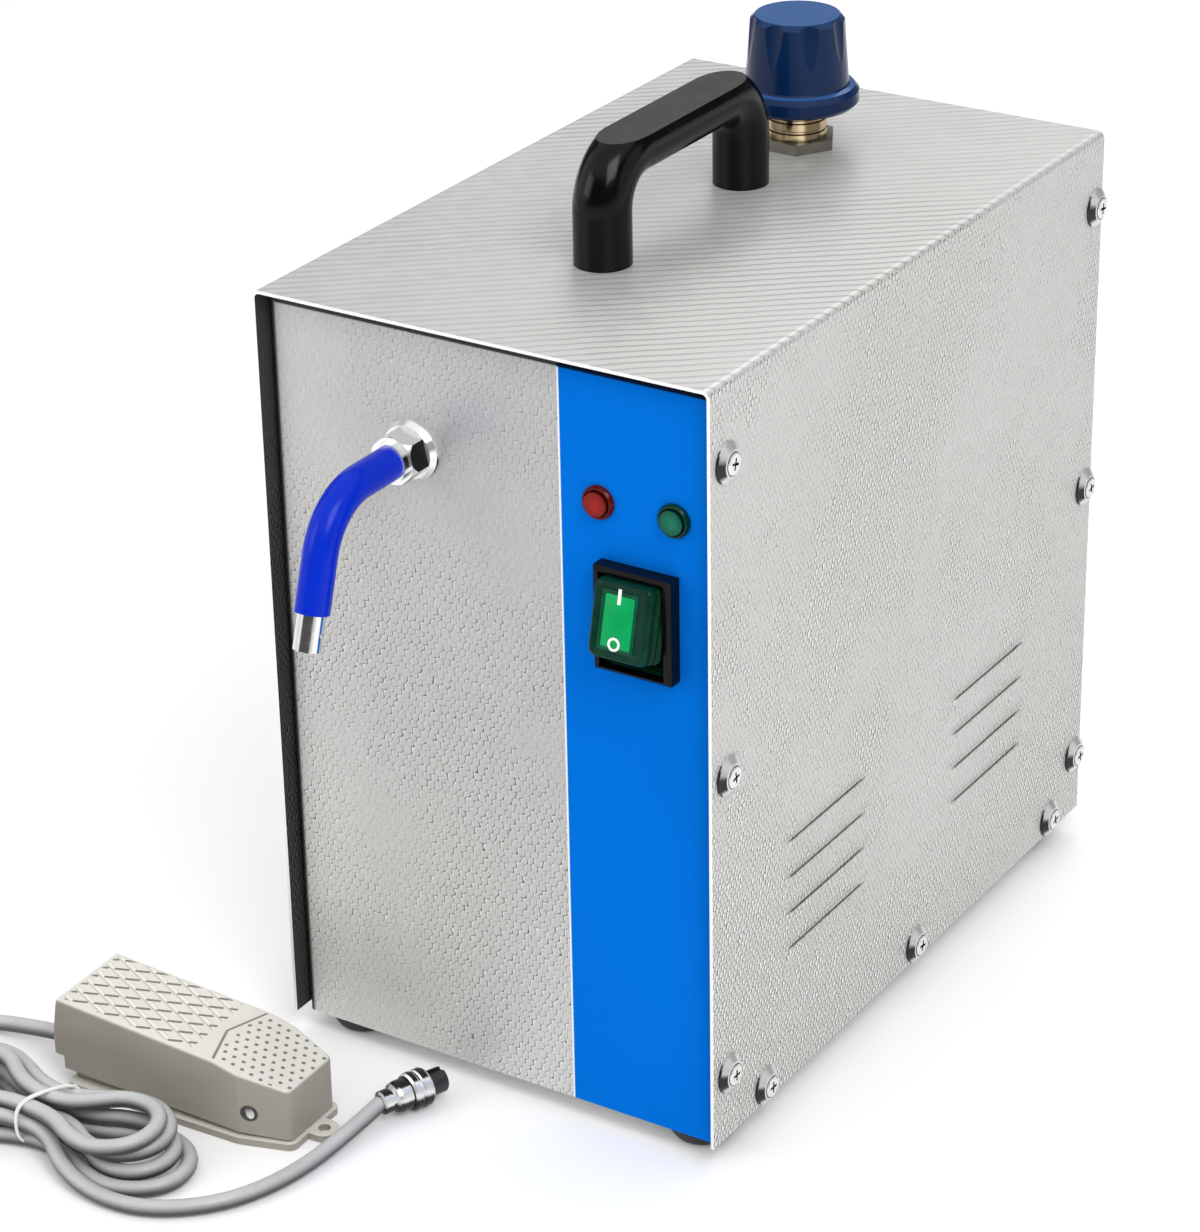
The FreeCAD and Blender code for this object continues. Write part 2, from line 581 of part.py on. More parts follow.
def coil(r, wire, low, high, turns):
    """helical spring, wire of radius wire, closed between two heights"""
    pitch = (high - low - 2 * wire) / turns
    h = Part.makeHelix(pitch, pitch * turns, r)
    h.translate(V(0, 0, low + wire))
    e = h.Edges[0]
    ring = Part.Wire([Part.makeCircle(wire, e.valueAt(e.FirstParameter), e.tangentAt(e.FirstParameter))])
    return Part.Wire(h.Edges).makePipeShell([ring], True, True)


FX, FY = N("fill_x"), N("fill_y")
group("relief_spring", [move(coil(3.4, 0.4, N("z_top + 34.4"), N("cap_top_z - 3.2"), 4), FX, FY, 0)])

# ================================================================ nozzle
NX, NZ = N("noz_x"), N("noz_z")
b = body("nozzle_flange")
turned(b, [("noz_pipe_r", "0"), ("11", "0"), ("11", "1.2"), ("9.6", "3.2"), ("noz_pipe_r", "3.2")])
n = node("nozzle_flange", b, own=True)
b.Placement = FreeCAD.Placement(V(0, 0, 0), FreeCAD.Rotation(V(1, 0, 0), 90))
b.setExpression("Placement.Base.x", X("org_x + noz_x"))
b.setExpression("Placement.Base.y", X("org_y - half_d + recess"))
b.setExpression("Placement.Base.z", X("noz_z"))

b = body("nozzle_nut")
s = sketch(b, "XY", "3.2")
poly(s, [(t[0].replace("nut_af", "16.5"), t[1].replace("nut_af", "16.5")) for t in hx])
circle(s, "0", "0", "noz_pipe_r")
f = pad(b, s, "8.6")
s2 = sketch(b, "XY", "11.8")
circle(s2, "0", "0", "7.1")
circle(s2, "0", "0", "noz_pipe_r")
pad(b, s2, "2.4", "_collar")
# cone that takes the corners off the front of the hexagon
turned(b, [("8.1", "12.6"), ("11", "12.6"), ("11", "9.2"), ("9.6", "9.2")], groove=True)
node("nozzle_nut", b, own=True)
b.Placement = FreeCAD.Placement(V(0, 0, 0), FreeCAD.Rotation(V(1, 0, 0), 90).multiply(FreeCAD.Rotation(V(0, 0, 1), -17)))
b.setExpression("Placement.Base.x", X("org_x + noz_x"))
b.setExpression("Placement.Base.y", X("org_y - half_d + recess"))
b.setExpression("Placement.Base.z", X("noz_z"))

PY = N("-half_d + recess")
vy, ty, tz2, br = N("noz_bend_y"), N("noz_tip_y"), N("noz_tip_z"), N("noz_bend_r")
pts = [(NX, PY + 22, NZ), (NX, vy, NZ), (NX, ty, tz2)]
w = path_wire(pts, [br])
pipe = tube(w, N("noz_pipe_r")).cut(tube(path_wire([(NX, PY + 23, NZ), (NX, vy, NZ), (NX, ty - (vy - ty) * -0.2, tz2 - 9.6)], [br]), N("noz_bore_r")))
# the tip is cut on the slant, open towards the user
d = V(0, ty - vy, tz2 - NZ).normalize()
blade = Part.makeBox(30, 30, 30, V(-15, -30, 0))
blade = turn(blade, V(1, 0, 0), -58)
pipe = pipe.cut(move(blade, NX, ty + 5.2, tz2 - 1.0).common(Part.makeBox(60, 60, 30, V(NX - 30, ty - 30, tz2 - 24))))
group("nozzle_pipe", [pipe])
length = math.hypot(ty - vy, tz2 - NZ)
end = [(NX, PY - 14.2, NZ), (NX, vy, NZ), (NX, vy + (ty - vy) * (1 - 12.6 / length), NZ + (tz2 - NZ) * (1 - 12.6 / length))]
sleeve = tube(path_wire(end, [br]), N("sleeve_r")).cut(tube(path_wire([(NX, PY - 10, NZ), (NX, vy, NZ), (NX, ty, tz2)], [br]), N("noz_pipe_r")))
group("nozzle_sleeve", [sleeve])

# ================================================================ lamps
for label, x in (("lamp_lens_red", "lamp_a_x"), ("lamp_lens_green", "lamp_b_x")):
    b = body(label)
    turned(b, [("0", "-4"), ("lamp_hole_r - 0.2", "-4"), ("lamp_hole_r - 0.2", "0"), ("lamp_rim_r", "0"), ("lamp_rim_r", "1.2"), ("lamp_rim_r - 0.5", "2.0"),
               ("lamp_rim_r - 1.1", "2.0"), ("5", "1.1"), ("4.6", "1.1"), ("4.35", "3.0"), ("4", "3.3"), ("0", "3.3")])
    node(label, b, own=True)
    b.Placement = FreeCAD.Placement(V(0, 0, 0), FreeCAD.Rotation(V(1, 0, 0), 90))
    b.setExpression("Placement.Base.x", X("org_x + %s" % x))
    b.setExpression("Placement.Base.y", X("org_y - half_d + recess - film_t"))
    b.setExpression("Placement.Base.z", X("lamp_z"))
# bodies of the lamps behind the panel, each with its clamping nut
lb = rev([(0, 3.6), (N("lamp_hole_r") - 0.2, 3.6), (N("lamp_hole_r") - 0.2, 20), (0, 20)]).fuse(hexagon(13, 1.6, 4.8).cut(Part.makeCylinder(N("lamp_hole_r") - 0.2, 4, V(0, 0, 0))))
lb = lb.fuse(Part.makeBox(0.8, 2.8, 7, V(-2.6, -1.4, 20))).fuse(Part.makeBox(0.8, 2.8, 7, V(1.8, -1.4, 20)))
lamps = [move(turn(lb, V(1, 0, 0), -90), N(x), PY, N("lamp_z")) for x in ("lamp_a_x", "lamp_b_x")]
group("lamp_bodies", lamps)

# ================================================================ mains switch
b = body("switch_housing")
s = sketch(b, "XZ", "-sw_pivot_y - 18")
rect(s, "sw_x - 13", "sw_z - 16", "sw_x + 13", "sw_z + 16")
pad(b, s, "half_d - recess + film_t + sw_pivot_y + 18", "_core")
s = sketch(b, "XZ", "half_d - recess + film_t")
rect(s, "sw_x - sw_w / 2", "sw_z - sw_high / 2", "sw_x + sw_w / 2", "sw_z + sw_high / 2")
f = pad(b, s, "sw_out", "_bezel")
f = dress(b, "Chamfer", f, "1.1", lambda e: (along(e, 0) or along(e, 2)) and ends(e)[0].y < N("-half_d + recess - film_t - sw_out + 0.1"))
s = sketch(b, "XZ", "half_d - recess + film_t + sw_out + 1")
rect(s, "sw_x - sw_open_w / 2", "sw_z - sw_open_high / 2", "sw_x + sw_open_w / 2", "sw_z + sw_open_high / 2")
pocket(b, s, "sw_out + 1")
s = sketch(b, "XZ", "half_d - recess + film_t + 1")
rect(s, "sw_x - 11.7", "sw_z - 15.3", "sw_x + 11.7", "sw_z + 15.3")
pocket(b, s, "17")
s = sketch(b, "YZ", "sw_x + 12.7")
circle(s, "sw_pivot_y", "sw_z", "1.55")
pocket(b, s, "25.4")
node("switch_housing", b)

# rocker: turned about its pins, top end pressed in, as it is when the machine is on
SX, SZ, SY = N("sw_x"), N("sw_z"), N("sw_pivot_y")
tilt = N("sw_tilt")
rock = Part.makeBox(20.6, 8.4, 24.4, V(-10.3, -16, -12.2))
stem = Part.makeBox(20.6, 9, 9, V(-10.3, -8, -4.5))
pins = Part.makeCylinder(1.5, 25.0, V(-12.5, 0, 0), V(1, 0, 0))
rock = rock.fuse(stem).fuse(pins)
rock = turn(rock, V(1, 0, 0), -tilt)
group("switch_rocker", [move(rock, SX, SY, SZ).removeSplitter()])
# silicone boot over the rocker
boot = Part.makeBox(22.4, 8.0, 26.2, V(-11.2, -17.1, -13.1)).cut(Part.makeBox(20.6, 8.5, 24.4, V(-10.3, -16, -12.2)))
boot = turn(boot, V(1, 0, 0), -tilt)
group("switch_boot", [move(boot, SX, SY, SZ)])

# ================================================================ boiler
BX, BY = FX, FY
b = body("boiler_tank")
bw = "boil_wall"
turned(b, [("18.2", "boil_low"), ("46", "boil_low"), ("55", "boil_low + 3"), ("boil_r", "boil_low + 12"), ("boil_r", "boil_high - 12"), ("55", "boil_high - 3"), ("46", "boil_high"),
           ("neck_r", "boil_high"), ("neck_r", "boil_high - boil_wall"), ("45.5", "boil_high - boil_wall"), ("54", "boil_high - boil_wall - 3"),
           ("boil_r - boil_wall", "boil_high - 12.5"), ("boil_r - boil_wall", "boil_low + 12.5"), ("54", "boil_low + boil_wall + 3"), ("45.5", "boil_low + boil_wall"),
           ("18.2", "boil_low + boil_wall")])
s = sketch(b, "XY", "boil_high + 5")
circle(s, "0", "-36", "4")
circle(s, "-32", "6", "3")
pocket(b, s, "12")
s = sketch(b, "XY", "boil_low + 5")
circle(s, "30", "30", "3.5")
pocket(b, s, "9")
node("boiler_tank", b, "fill_x", "fill_y")

b = body("boiler_jacket")
turned(b, [("boil_r", "boil_low + 14"), ("boil_r + jacket_t", "boil_low + 14"), ("boil_r + jacket_t", "boil_high - 14"), ("boil_r", "boil_high - 14")])
node("boiler_jacket", b, "fill_x", "fill_y")

tank_solid = rev([(0, N("boil_low")), (46, N("boil_low")), (55, N("boil_low + 3")), (N("boil_r"), N("boil_low + 12")), (N("boil_r"), N("boil_low + 30")), (0, N("boil_low + 30"))])
legs = []
for k in range(3):
    leg = Part.makeBox(12, 18, N("boil_low + 9 - tray_z - gauge"), V(44, -9, N("tray_z + gauge")))
    leg = leg.fuse(Part.makeBox(18, 18, 2, V(40, -9, N("tray_z + gauge"))))
    leg = leg.cut(tank_solid)
    legs.append(move(turn(leg, V(0, 0, 1), 120 * k - 30), BX, BY, 0))
group("boiler_cradle", legs)

# tubular heater: flange in the boiler bottom, one hairpin, two studs below
hp = tube(path_wire([(-10, 0, 60), (-10, 0, 140), (10, 0, 140), (10, 0, 60)], [9.9, 9.9]), 4)
heater = rev([(0, N("boil_low - 4")), (24, N("boil_low - 4")), (24, N("boil_low")), (18.2, N("boil_low")), (18.2, N("boil_low + 4")), (0, N("boil_low + 4"))]).fuse(hp)
for x in (-10, 10):
    heater = heater.fuse(Part.makeCylinder(2, 12, V(x, 0, N("boil_low - 16"))))
group("heater_element", [move(heater, BX, BY, 0)])

# bimetal thermostat and pressure switch on the boiler top
th = rev([(0, 0), (9, 0), (9, 7), (5, 9), (0, 9)]).fuse(Part.makeBox(1, 6, 9, V(-4, -3, 8))).fuse(Part.makeBox(1, 6, 9, V(3, -3, 8)))
group("thermostat", [move(th, BX + 28, BY + 8, N("boil_high"))])
ps = rev([(0, -1.4), (3, -1.4), (3, 0), (6, 0), (6, 6), (14, 6), (14, 14), (9, 18), (9, 26), (0, 26)])
group("pressure_switch", [move(ps, BX - 32, BY + 6, N("boil_high"))])

# ================================================================ steam valve, worked by the pedal
VY = -76.0
vb = Part.makeBox(28, 28, 22, V(NX - 14, VY - 14, 236))
guide = rev([(5.06, 258), (6.2, 258), (6.2, 288), (0, 288), (0, 285.4), (5.06, 285.4)])
vb = vb.fuse(move(guide, NX, VY, 0)).cut(move(Part.makeCylinder(5.06, 8.2, V(0, 0, 250)), NX, VY, 0))
vb = vb.cut(Part.makeCylinder(3, 30, V(NX, VY - 15, 246.8), V(0, 1, 0))).cut(Part.makeCylinder(2.2, 5, V(NX, VY, 246)))
group("solenoid_body", [vb.removeSplitter()])
coil_box = Part.makeBox(30, 30, 26, V(NX - 15, VY - 15, 259)).cut(Part.makeCylinder(6.25, 30, V(NX, VY, 257)))
coil_box = coil_box.fuse(Part.makeBox(14, 10, 12, V(NX + 15, VY - 5, 266)))
group("solenoid_coil", [coil_box.removeSplitter()])
group("solenoid_plunger", [move(rev([(0, 250), (3.4, 250), (5.0, 252), (5.0, 273), (0, 273)]), NX, VY, 0)])
group("solenoid_spring", [move(coil(3.6, 0.4, 273.0, 285.4, 5), NX, VY, 0)])

# steam and drain pipes
out = [(BX, BY - 36, N("boil_high - boil_wall")), (BX, BY - 36, 268), (BX, -20, 268), (NX, -28, 246.8), (NX, VY + 14, 246.8)]
w = path_wire(out, [9, 9, 9])
steam_a = tube(w, 4).cut(tube(w, 2.8))
steam_b = Part.makeCylinder(4, abs((PY + 22) - (VY - 14)), V(NX, PY + 22, NZ), V(0, 1, 0))
steam_b = steam_b.cut(Part.makeCylinder(2.8, 60, V(NX, PY, NZ), V(0, 1, 0)))
w = path_wire([(BX + 30, BY + 30, N("boil_low + boil_wall")), (BX + 30, BY + 30, 40), (45, 118, 40), (45, 128, 40)], [6, 5])
drain = tube(w, 3.5).cut(tube(w, 2.4))
group("pipework", [steam_a, steam_b, drain])

# ================================================================ rear fittings
RY = N("half_d - 0.4")
dv = turn(rev([(0, -14.6), (8.2, -14.6), (8.2, 0), (10, 0), (10, 14), (6, 14), (6, 24), (4, 24), (4, 6), (0, 6)]), V(1, 0, 0), -90)
dv = move(dv, 45, RY, 40)
dv = dv.fuse(Part.makeCylinder(3.4, 7, V(45, RY + 7, 49))).fuse(Part.makeCylinder(2.0, 5, V(45, RY + 7, 56)))
group("drain_valve_body", [dv.removeSplitter()])
lev = Part.makeBox(34, 9, 2, V(-4.5, -4.5, 0)).fuse(Part.makeCylinder(4.5, 2, V(29.5, 0, 0))).fuse(Part.makeCylinder(5, 3.2, V(0, 0, -0.0)))
lev = lev.cut(Part.makeCylinder(2.06, 6, V(0, 0, -1)))
group("drain_valve_lever", [move(lev, 45, RY + 7, 56.3)])

mi = Part.makeBox(48, 3, 30, V(-69, RY, 28)).fuse(Part.makeBox(28, 22, 20, V(-59, RY - 22, 33)))
mi = mi.cut(Part.makeBox(24.4, 17, 16.4, V(-57.2, RY - 14, 34.8)))
for x, z in ((-52, 41), (-45, 45), (-38, 41)):
    mi = mi.fuse(Part.makeBox(2, 24, 4, V(x - 1, RY - 28, z - 2)))
group("mains_inlet", [mi.removeSplitter()])
fh = turn(rev([(0, -26), (5.6, -26), (5.6, 0), (8.5, 0), (8.5, 5), (7.5, 8), (0, 8)]), V(1, 0, 0), -90).cut(Part.makeBox(12, 3, 1.6, V(-6, 6.4, -0.8)))
group("fuse_holder", [move(fh, 58, RY, 85)])
so = turn(rev([(0, -14), (6.0, -14), (6.0, 0), (9, 0), (9, 2), (6.0, 2), (6.0, 8), (4.9, 8), (4.9, -4.6), (0, -4.6)]), V(1, 0, 0), -90)
for k in range(3):
    a = math.radians(90 + 120 * k)
    so = so.fuse(turn(Part.makeCylinder(0.6, 8, V(2.4 * math.cos(a), 2.4 * math.sin(a), -4.8)), V(1, 0, 0), -90))
group("pedal_socket", [move(so, -58, RY, 85)])
tb = Part.makeBox(42, 20, 18, V(-70, -108, N("tray_z + gauge")))
for k in range(4):
    tb = tb.cut(Part.makeCylinder(3, 8, V(-64.5 + 10.3 * k, -98, N("tray_z + gauge + 12"))))
group("terminal_block", [tb])

# ================================================================ foot pedal
L, H, T, XB, XV = N("ped_len"), N("ped_half"), N("ped_toe"), N("ped_taper"), N("ped_vee_x")


def plan(grow, low, high, back=0.0, front=0.0):
    """pedal outline seen from above, grown by an amount"""
    x1 = -L - back
    return prism([(x1, -H - grow), (-XB, -H - grow), (front, -T - grow * 0.8), (front, T + grow * 0.8), (-XB, H + grow), (x1, H + grow)], low, high)


def side(pts, half=40):
    """prism across the pedal from a side view of (x, z) points"""
    w = Part.makePolygon([V(a, -half, c) for a, c in pts] + [V(pts[0][0], -half, pts[0][1])])
    return Part.Face(w).extrude(V(0, 2 * half, 0))


def fillet_where(shape, r, test):
    es = [e for e in shape.Edges if test(e)]
    return shape.makeFillet(r, es) if es else shape


hh, hv, hl = N("ped_high"), N("ped_vee"), N("ped_low")
top_line = [(-L - 6, hh + 0.3), (-XV, hv), (0.5, hl)]
outer = plan(0, 2, 60, back=4)
outer = fillet_where(outer, 3.0, lambda e: abs(e.tangentAt(e.FirstParameter).z) > 0.99)
envelope = side([(-L - 4, 12.6), (-L + 1.5, 12.6), (-L + 1.5, 7.4), (2, 3.3), (2, hl - 0.4)] + [(0.5, hl), (-XV, hv), (-L, hh)])
outer = outer.common(envelope)
outer = fillet_where(outer, 1.4, lambda e: e.CenterOfMass.z > hl - 3 and abs(e.CenterOfMass.y) > 2 and e.BoundBox.ZMin > hl - 2.0 and abs(e.tangentAt(e.FirstParameter).z) < 0.6)
inner = plan(-2.2, -5, 60, back=4 - 2.2, front=-2.2)
under = side([(-L - 4.8, -5), (2, -5), (2, hl - 2.8), (-XV, hv - 2.4), (-L + 1.9, hh - 2.0)])
treadle = outer.cut(inner.common(under))
PXp, PZp, PR = N("pin_x"), N("pin_z"), N("pin_r")
treadle = treadle.cut(Part.makeCylinder(PR + 0.04, 60, V(PXp, -30, PZp), V(0, 1, 0)))
# post that presses the switch, and a seat for the return spring
treadle = treadle.fuse(Part.makeCylinder(3.0, 8.4, V(-62, 0, 23.7))).fuse(Part.makeCylinder(2.4, 6.0, V(-80, 0, 28.2)))
# clearance notch for the cord at the high end
treadle = treadle.cut(Part.makeBox(14, 12, 8.2, V(-L - 9, -6, 9)))


def ped(shape):
    s = shape.copy()
    s.rotate(V(0, 0, 0), V(0, 0, 1), N("ped_yaw"))
    s.translate(V(N("ped_x"), N("ped_y"), 0))
    return s


group("pedal_treadle", [ped(treadle.removeSplitter())])

base = plan(1.4, 0, 2.6, back=-2.4, front=1.4)
base = fillet_where(base, 3.5, lambda e: abs(e.tangentAt(e.FirstParameter).z) > 0.99)
tub = plan(-3.2, 2.6, 9.4, back=-4.2, front=-4).cut(plan(-5.0, 2.6, 12, back=-6.0, front=-6))
base = base.fuse(tub)
for y in (-13.0, 10.6):
    base = base.fuse(Part.makeBox(11, 2.4, 15.5, V(PXp - 5.5, y, 2.6)))
base = base.cut(Part.makeCylinder(PR, 60, V(PXp, -30, PZp), V(0, 1, 0)))
base = base.fuse(Part.makeCylinder(2.0, 4.0, V(-80, 0, 2.6)))
# ear with a fixing hole at the toe, the same at the high end under the cord side
ear = Part.makeCylinder(5.4, 2.6, V(4.6, 0, 0)).fuse(Part.makeBox(6, 10.8, 2.6, V(-1.4, -5.4, 0)))
base = base.fuse(ear).cut(Part.makeCylinder(2.3, 6, V(4.6, 0, -1)))
# rear wall that holds the cord gland
base = base.fuse(Part.makeBox(3, 16, 8.8, V(-L + 4.2, -8, 2.6))).cut(Part.makeCylinder(4.2, 8, V(-L + 2, 0, 8.2), V(1, 0, 0)))
group("pedal_base", [ped(base.removeSplitter())])

# pivot pin, a snap-on plug body, with its heads showing in the treadle's sides
group("pedal_pin", [ped(Part.makeCylinder(PR, 35.0, V(PXp, -17.5, PZp), V(0, 1, 0)))])
group("pedal_spring", [ped(move(coil(3.4, 0.5, 2.6, 31.9, 7), -80, 0, 0))])
ms = Part.makeBox(20, 10, 14, V(-72, -5, 2.6))
ms = ms.cut(Part.makeBox(3.2, 3.2, 6, V(-63.6, -1.6, 11)))
for x in (-70, -66):
    ms = ms.fuse(Part.makeBox(0.8, 3, 3, V(x, -8, 4)))
group("pedal_microswitch", [ped(ms)])
group("pedal_button", [ped(Part.makeBox(3.1, 3.1, 10.0, V(-63.55, -1.55, 13.6)))])
gl = turn(rev([(3.0, 0), (4.2, 0), (4.2, 3.2), (5.4, 3.2), (5.4, 5.2), (4.6, 5.4), (3.9, 12), (3.0, 12)]), V(0, 1, 0), -90)
group("pedal_gland", [ped(move(gl, -L + 7.2, 0, 8.2))])

# ================================================================ cord
# run from the pedal's gland round to the far end of the tied hank
CR = N("cord_r")
g0 = ped(Part.Vertex(-L - 4.8, 0, 8.2)).Point
ROUTE_A = [(g0.x, g0.y, g0.z), (-171.0, -197.0, 6.0), (-194.0, -200.0, 3.1), (-212.0, -213.0, 3.1), (-219.0, -235.0, 3.1), (-211.0, -256.0, 3.1), (-192.0, -267.0, 3.1),
           (-168.0, -266.5, 3.1), (-147.1, -259.5, 3.3), (-133.8, -253.2, 3.4)]
# lead from the hank to the plug
pe = V(N("plug_x"), N("plug_y"), N("plug_z"))
ROUTE_B = [(-115.9, -253.2, 8.6), (-104.6, -261.9, 5.8), (-87.0, -267.3, 3.1), (-65.0, -265.8, 3.1), (-45.0, -250.5, 3.1), (-34.5, -228.0, 3.1), (-31.0, -201.0, 3.6), (pe.x, pe.y, pe.z)]
for label, route in (("cord_to_hank", ROUTE_A), ("cord_lead", ROUTE_B)):
    radii = cord_radii(route)
    w = path_wire(route, radii)
    t = tube(w, CR)
    print(label, "radii", [round(r, 1) for r in radii], "length %.1f volume ratio %.4f" % (w.Length, t.Volume / (math.pi * CR * CR * w.Length)))
    group(label, [t])
# hank: outer shape of the tied turns
LOW = [(-186, -243), (-184, -252.9), (-178, -258.5), (-169, -261.3), (-160, -261), (-149, -256.2), (-138, -254), (-122.5, -254.4), (-113, -255.3), (-98, -261.3),
       (-90, -263.3), (-82, -263.2), (-74, -260.6), (-67, -255.5), (-63.4, -246), (-64, -235.3), (-68, -229.7), (-74, -225.2), (-82, -223.1), (-90, -223.5),
       (-98, -226.8), (-107, -231.3), (-122.5, -234.6), (-139, -231.7), (-150, -227.6), (-160, -223.6), (-170, -223.4), (-178, -226.2), (-184, -232.2)]
HIGH = [(-178.4, -243), (-177, -252), (-170, -262.3), (-160, -264.8), (-150, -264.8), (-140, -261.2), (-131, -257.5), (-122.5, -256), (-113, -257.1), (-104, -261),
        (-95, -263.1), (-86, -262.6), (-78.5, -258), (-74, -251.8), (-73.2, -243), (-76, -231), (-82, -225.2), (-90, -223.1), (-98, -223.5), (-106, -226.3),
        (-114, -231.2), (-122.5, -234.1), (-131, -232.4), (-140, -228.2), (-150, -223.7), (-160, -222.6), (-170, -225.2), (-176, -232)]
low = prism(LOW, 0, 9)
low = fillet_where(low, 1.5, lambda e: e.BoundBox.ZMax < 0.01)
high = prism(HIGH, 7.6, 21.5)
high = fillet_where(high, 1.5, lambda e: e.BoundBox.ZMin > 21.4)
hank = low.fuse(high)


def band(half, thick, z0, z1, wide):
    """flat-sided ring round the waist of the hank"""
    s = Part.makeBox(wide, 2 * half, z1 - z0, V(-wide / 2.0, -half, z0))
    s = fillet_where(s, thick, lambda e: abs(e.tangentAt(e.FirstParameter).x) > 0.99)
    s.rotate(V(0, 0, 0), V(0, 0, 1), -27.5)
    s.translate(V(-122.5, -244.6, 0))
    return s


tie = band(14.6, 6.0, 0.2, 21.6, 2.8).cut(band(13.4, 5.0, 1.4, 20.4, 6.0))
hank_solid = hank.cut(tie)
group("cord_hank", [hank_solid])
group("hank_tie", [tie])

# ================================================================ plug
PA = N("plug_yaw")


def plug(pts):
    s = turn(rev(pts), V(0, 1, 0), 90)
    s = turn(s, V(0, 0, 1), PA)
    return move(s, pe.x, pe.y, pe.z)


shell = plug([(0, 0), (3.4, 0), (4.4, 0.6), (4.4, 3.4), (3.8, 3.8), (3.8, 4.6), (5.4, 5.6), (5.9, 7.0), (5.9, 11), (5.2, 11.4), (5.2, 14.4), (0, 14.4)])
ring = plug([(5.26, 11.5), (6.4, 11.5), (7.1, 12.3), (7.1, 14.2), (6.6, 14.8), (6.6, 15.4), (7.1, 16.0), (7.1, 18.6), (6.6, 19.4), (6.05, 19.4), (6.05, 14.3), (5.26, 14.3)])
insert = plug([(0, 14.4), (4.75, 14.4), (4.75, 26.2), (4.4, 26.8), (0, 26.8)])
key = Part.makeBox(7, 2.4, 2.6, V(20.6, -1.2, 3.4))
key = turn(key, V(0, 0, 1), PA)
insert = insert.cut(move(key, pe.x, pe.y, pe.z))
group("plug_shell", [shell])
group("plug_ring", [ring])
group("plug_insert", [insert])

# ================================================================ output
doc.recompute()
bad = []
for o in doc.Objects:
    if any(word in st for st in o.State for word in ("Invalid", "Error")):
        bad.append((o.Name, o.State))
if bad:
    raise RuntimeError("objects in error: %s" % bad)
os.makedirs("parts", exist_ok=True)
for label, obj in NODES:
    shp = obj.Shape
    if shp.isNull() or not shp.isValid() or shp.Volume <= 0:
        raise RuntimeError("%s has no valid shape" % label)
    shp.exportStep("parts/%s.step" % label)
    bb = shp.BoundBox
    print("%-20s solids %2d volume %9.1f x %.1f..%.1f y %.1f..%.1f z %.1f..%.1f" % (label, len(shp.Solids), shp.Volume, bb.XMin, bb.XMax, bb.YMin, bb.YMax, bb.ZMin, bb.ZMax))
print(len(NODES), "nodes")
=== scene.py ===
import math

import bmesh
import bpy
from mathutils import Matrix, Vector


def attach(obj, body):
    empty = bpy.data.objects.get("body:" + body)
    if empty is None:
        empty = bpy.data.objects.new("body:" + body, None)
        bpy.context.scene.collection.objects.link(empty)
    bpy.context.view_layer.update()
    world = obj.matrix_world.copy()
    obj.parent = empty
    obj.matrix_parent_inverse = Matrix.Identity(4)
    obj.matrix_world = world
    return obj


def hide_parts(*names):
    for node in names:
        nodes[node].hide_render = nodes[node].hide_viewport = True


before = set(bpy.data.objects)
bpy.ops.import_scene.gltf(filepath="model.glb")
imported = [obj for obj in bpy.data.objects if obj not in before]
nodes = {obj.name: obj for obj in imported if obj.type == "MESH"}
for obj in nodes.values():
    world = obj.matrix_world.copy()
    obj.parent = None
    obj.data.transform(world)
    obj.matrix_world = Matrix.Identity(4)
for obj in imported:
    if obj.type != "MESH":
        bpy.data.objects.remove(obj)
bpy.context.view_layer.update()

# the machine is laid out about its own middle; the row frame is this much further along
OX, OY = 26.9, 24.5


def P(x, y, z):
    return Vector(((x + OX) / 1000.0, (y + OY) / 1000.0, z / 1000.0))


# ------------------------------------------------------------------ camera, floor, light
cam_data = bpy.data.cameras.new("camera")
cam_data.sensor_fit = "AUTO"
cam_data.sensor_width = 36.0
cam_data.lens = 113.755
cam_data.clip_start = 0.05
cam_data.clip_end = 20.0
cam = bpy.data.objects.new("camera", cam_data)
right = Vector((0.8460093, 0.5328861, -0.0173411))
up = Vector((-0.2220349, 0.3816995, 0.8972213))
ahead = Vector((-0.4847358, 0.7552072, -0.4412406))
m = Matrix((right, up, -ahead)).transposed().to_4x4()
m.translation = Vector((0.697464, -1.089535, 0.773431))
cam.matrix_world = m
bpy.context.scene.collection.objects.link(cam)
bpy.context.scene.camera = cam
bpy.context.scene.view_settings.view_transform = "Standard"
bpy.context.scene.view_settings.look = "None"
bpy.context.scene.view_settings.exposure = 0.0
bpy.context.scene.view_settings.gamma = 1.0


def link(ob):
    bpy.context.scene.collection.objects.link(ob)
    return ob


def area(name, at, to, size, power, size_y=None, colour=(1, 1, 1)):
    d = bpy.data.lights.new(name, "AREA")
    d.energy = power
    d.color = colour
    d.size = size
    if size_y:
        d.shape = "RECTANGLE"
        d.size_y = size_y
    ob = link(bpy.data.objects.new(name, d))
    ob.location = at
    ob.rotation_euler = (Vector(to) - Vector(at)).to_track_quat("-Z", "Y").to_euler()
    return ob


world = bpy.data.worlds.new("studio")
bpy.context.scene.world = world
world.use_nodes = True
wt = world.node_tree
wt.nodes.clear()


def w_add(kind, **kw):
    n = wt.nodes.new(kind)
    for key, value in kw.items():
        setattr(n, key, value)
    return n


def w_grey(value, strength):
    n = w_add("ShaderNodeBackground")
    n.inputs["Strength"].default_value = strength
    if isinstance(value, tuple):
        n.inputs["Color"].default_value = (*value, 1)
    else:
        wt.links.new(value, n.inputs["Color"])
    return n.outputs[0]


def w_range(v, a, b, c, d):
    n = w_add("ShaderNodeMapRange", interpolation_type="SMOOTHSTEP")
    for key, value in (("From Min", a), ("From Max", b), ("To Min", c), ("To Max", d)):
        n.inputs[key].default_value = value
    wt.links.new(v, n.inputs["Value"])
    return n.outputs["Result"]


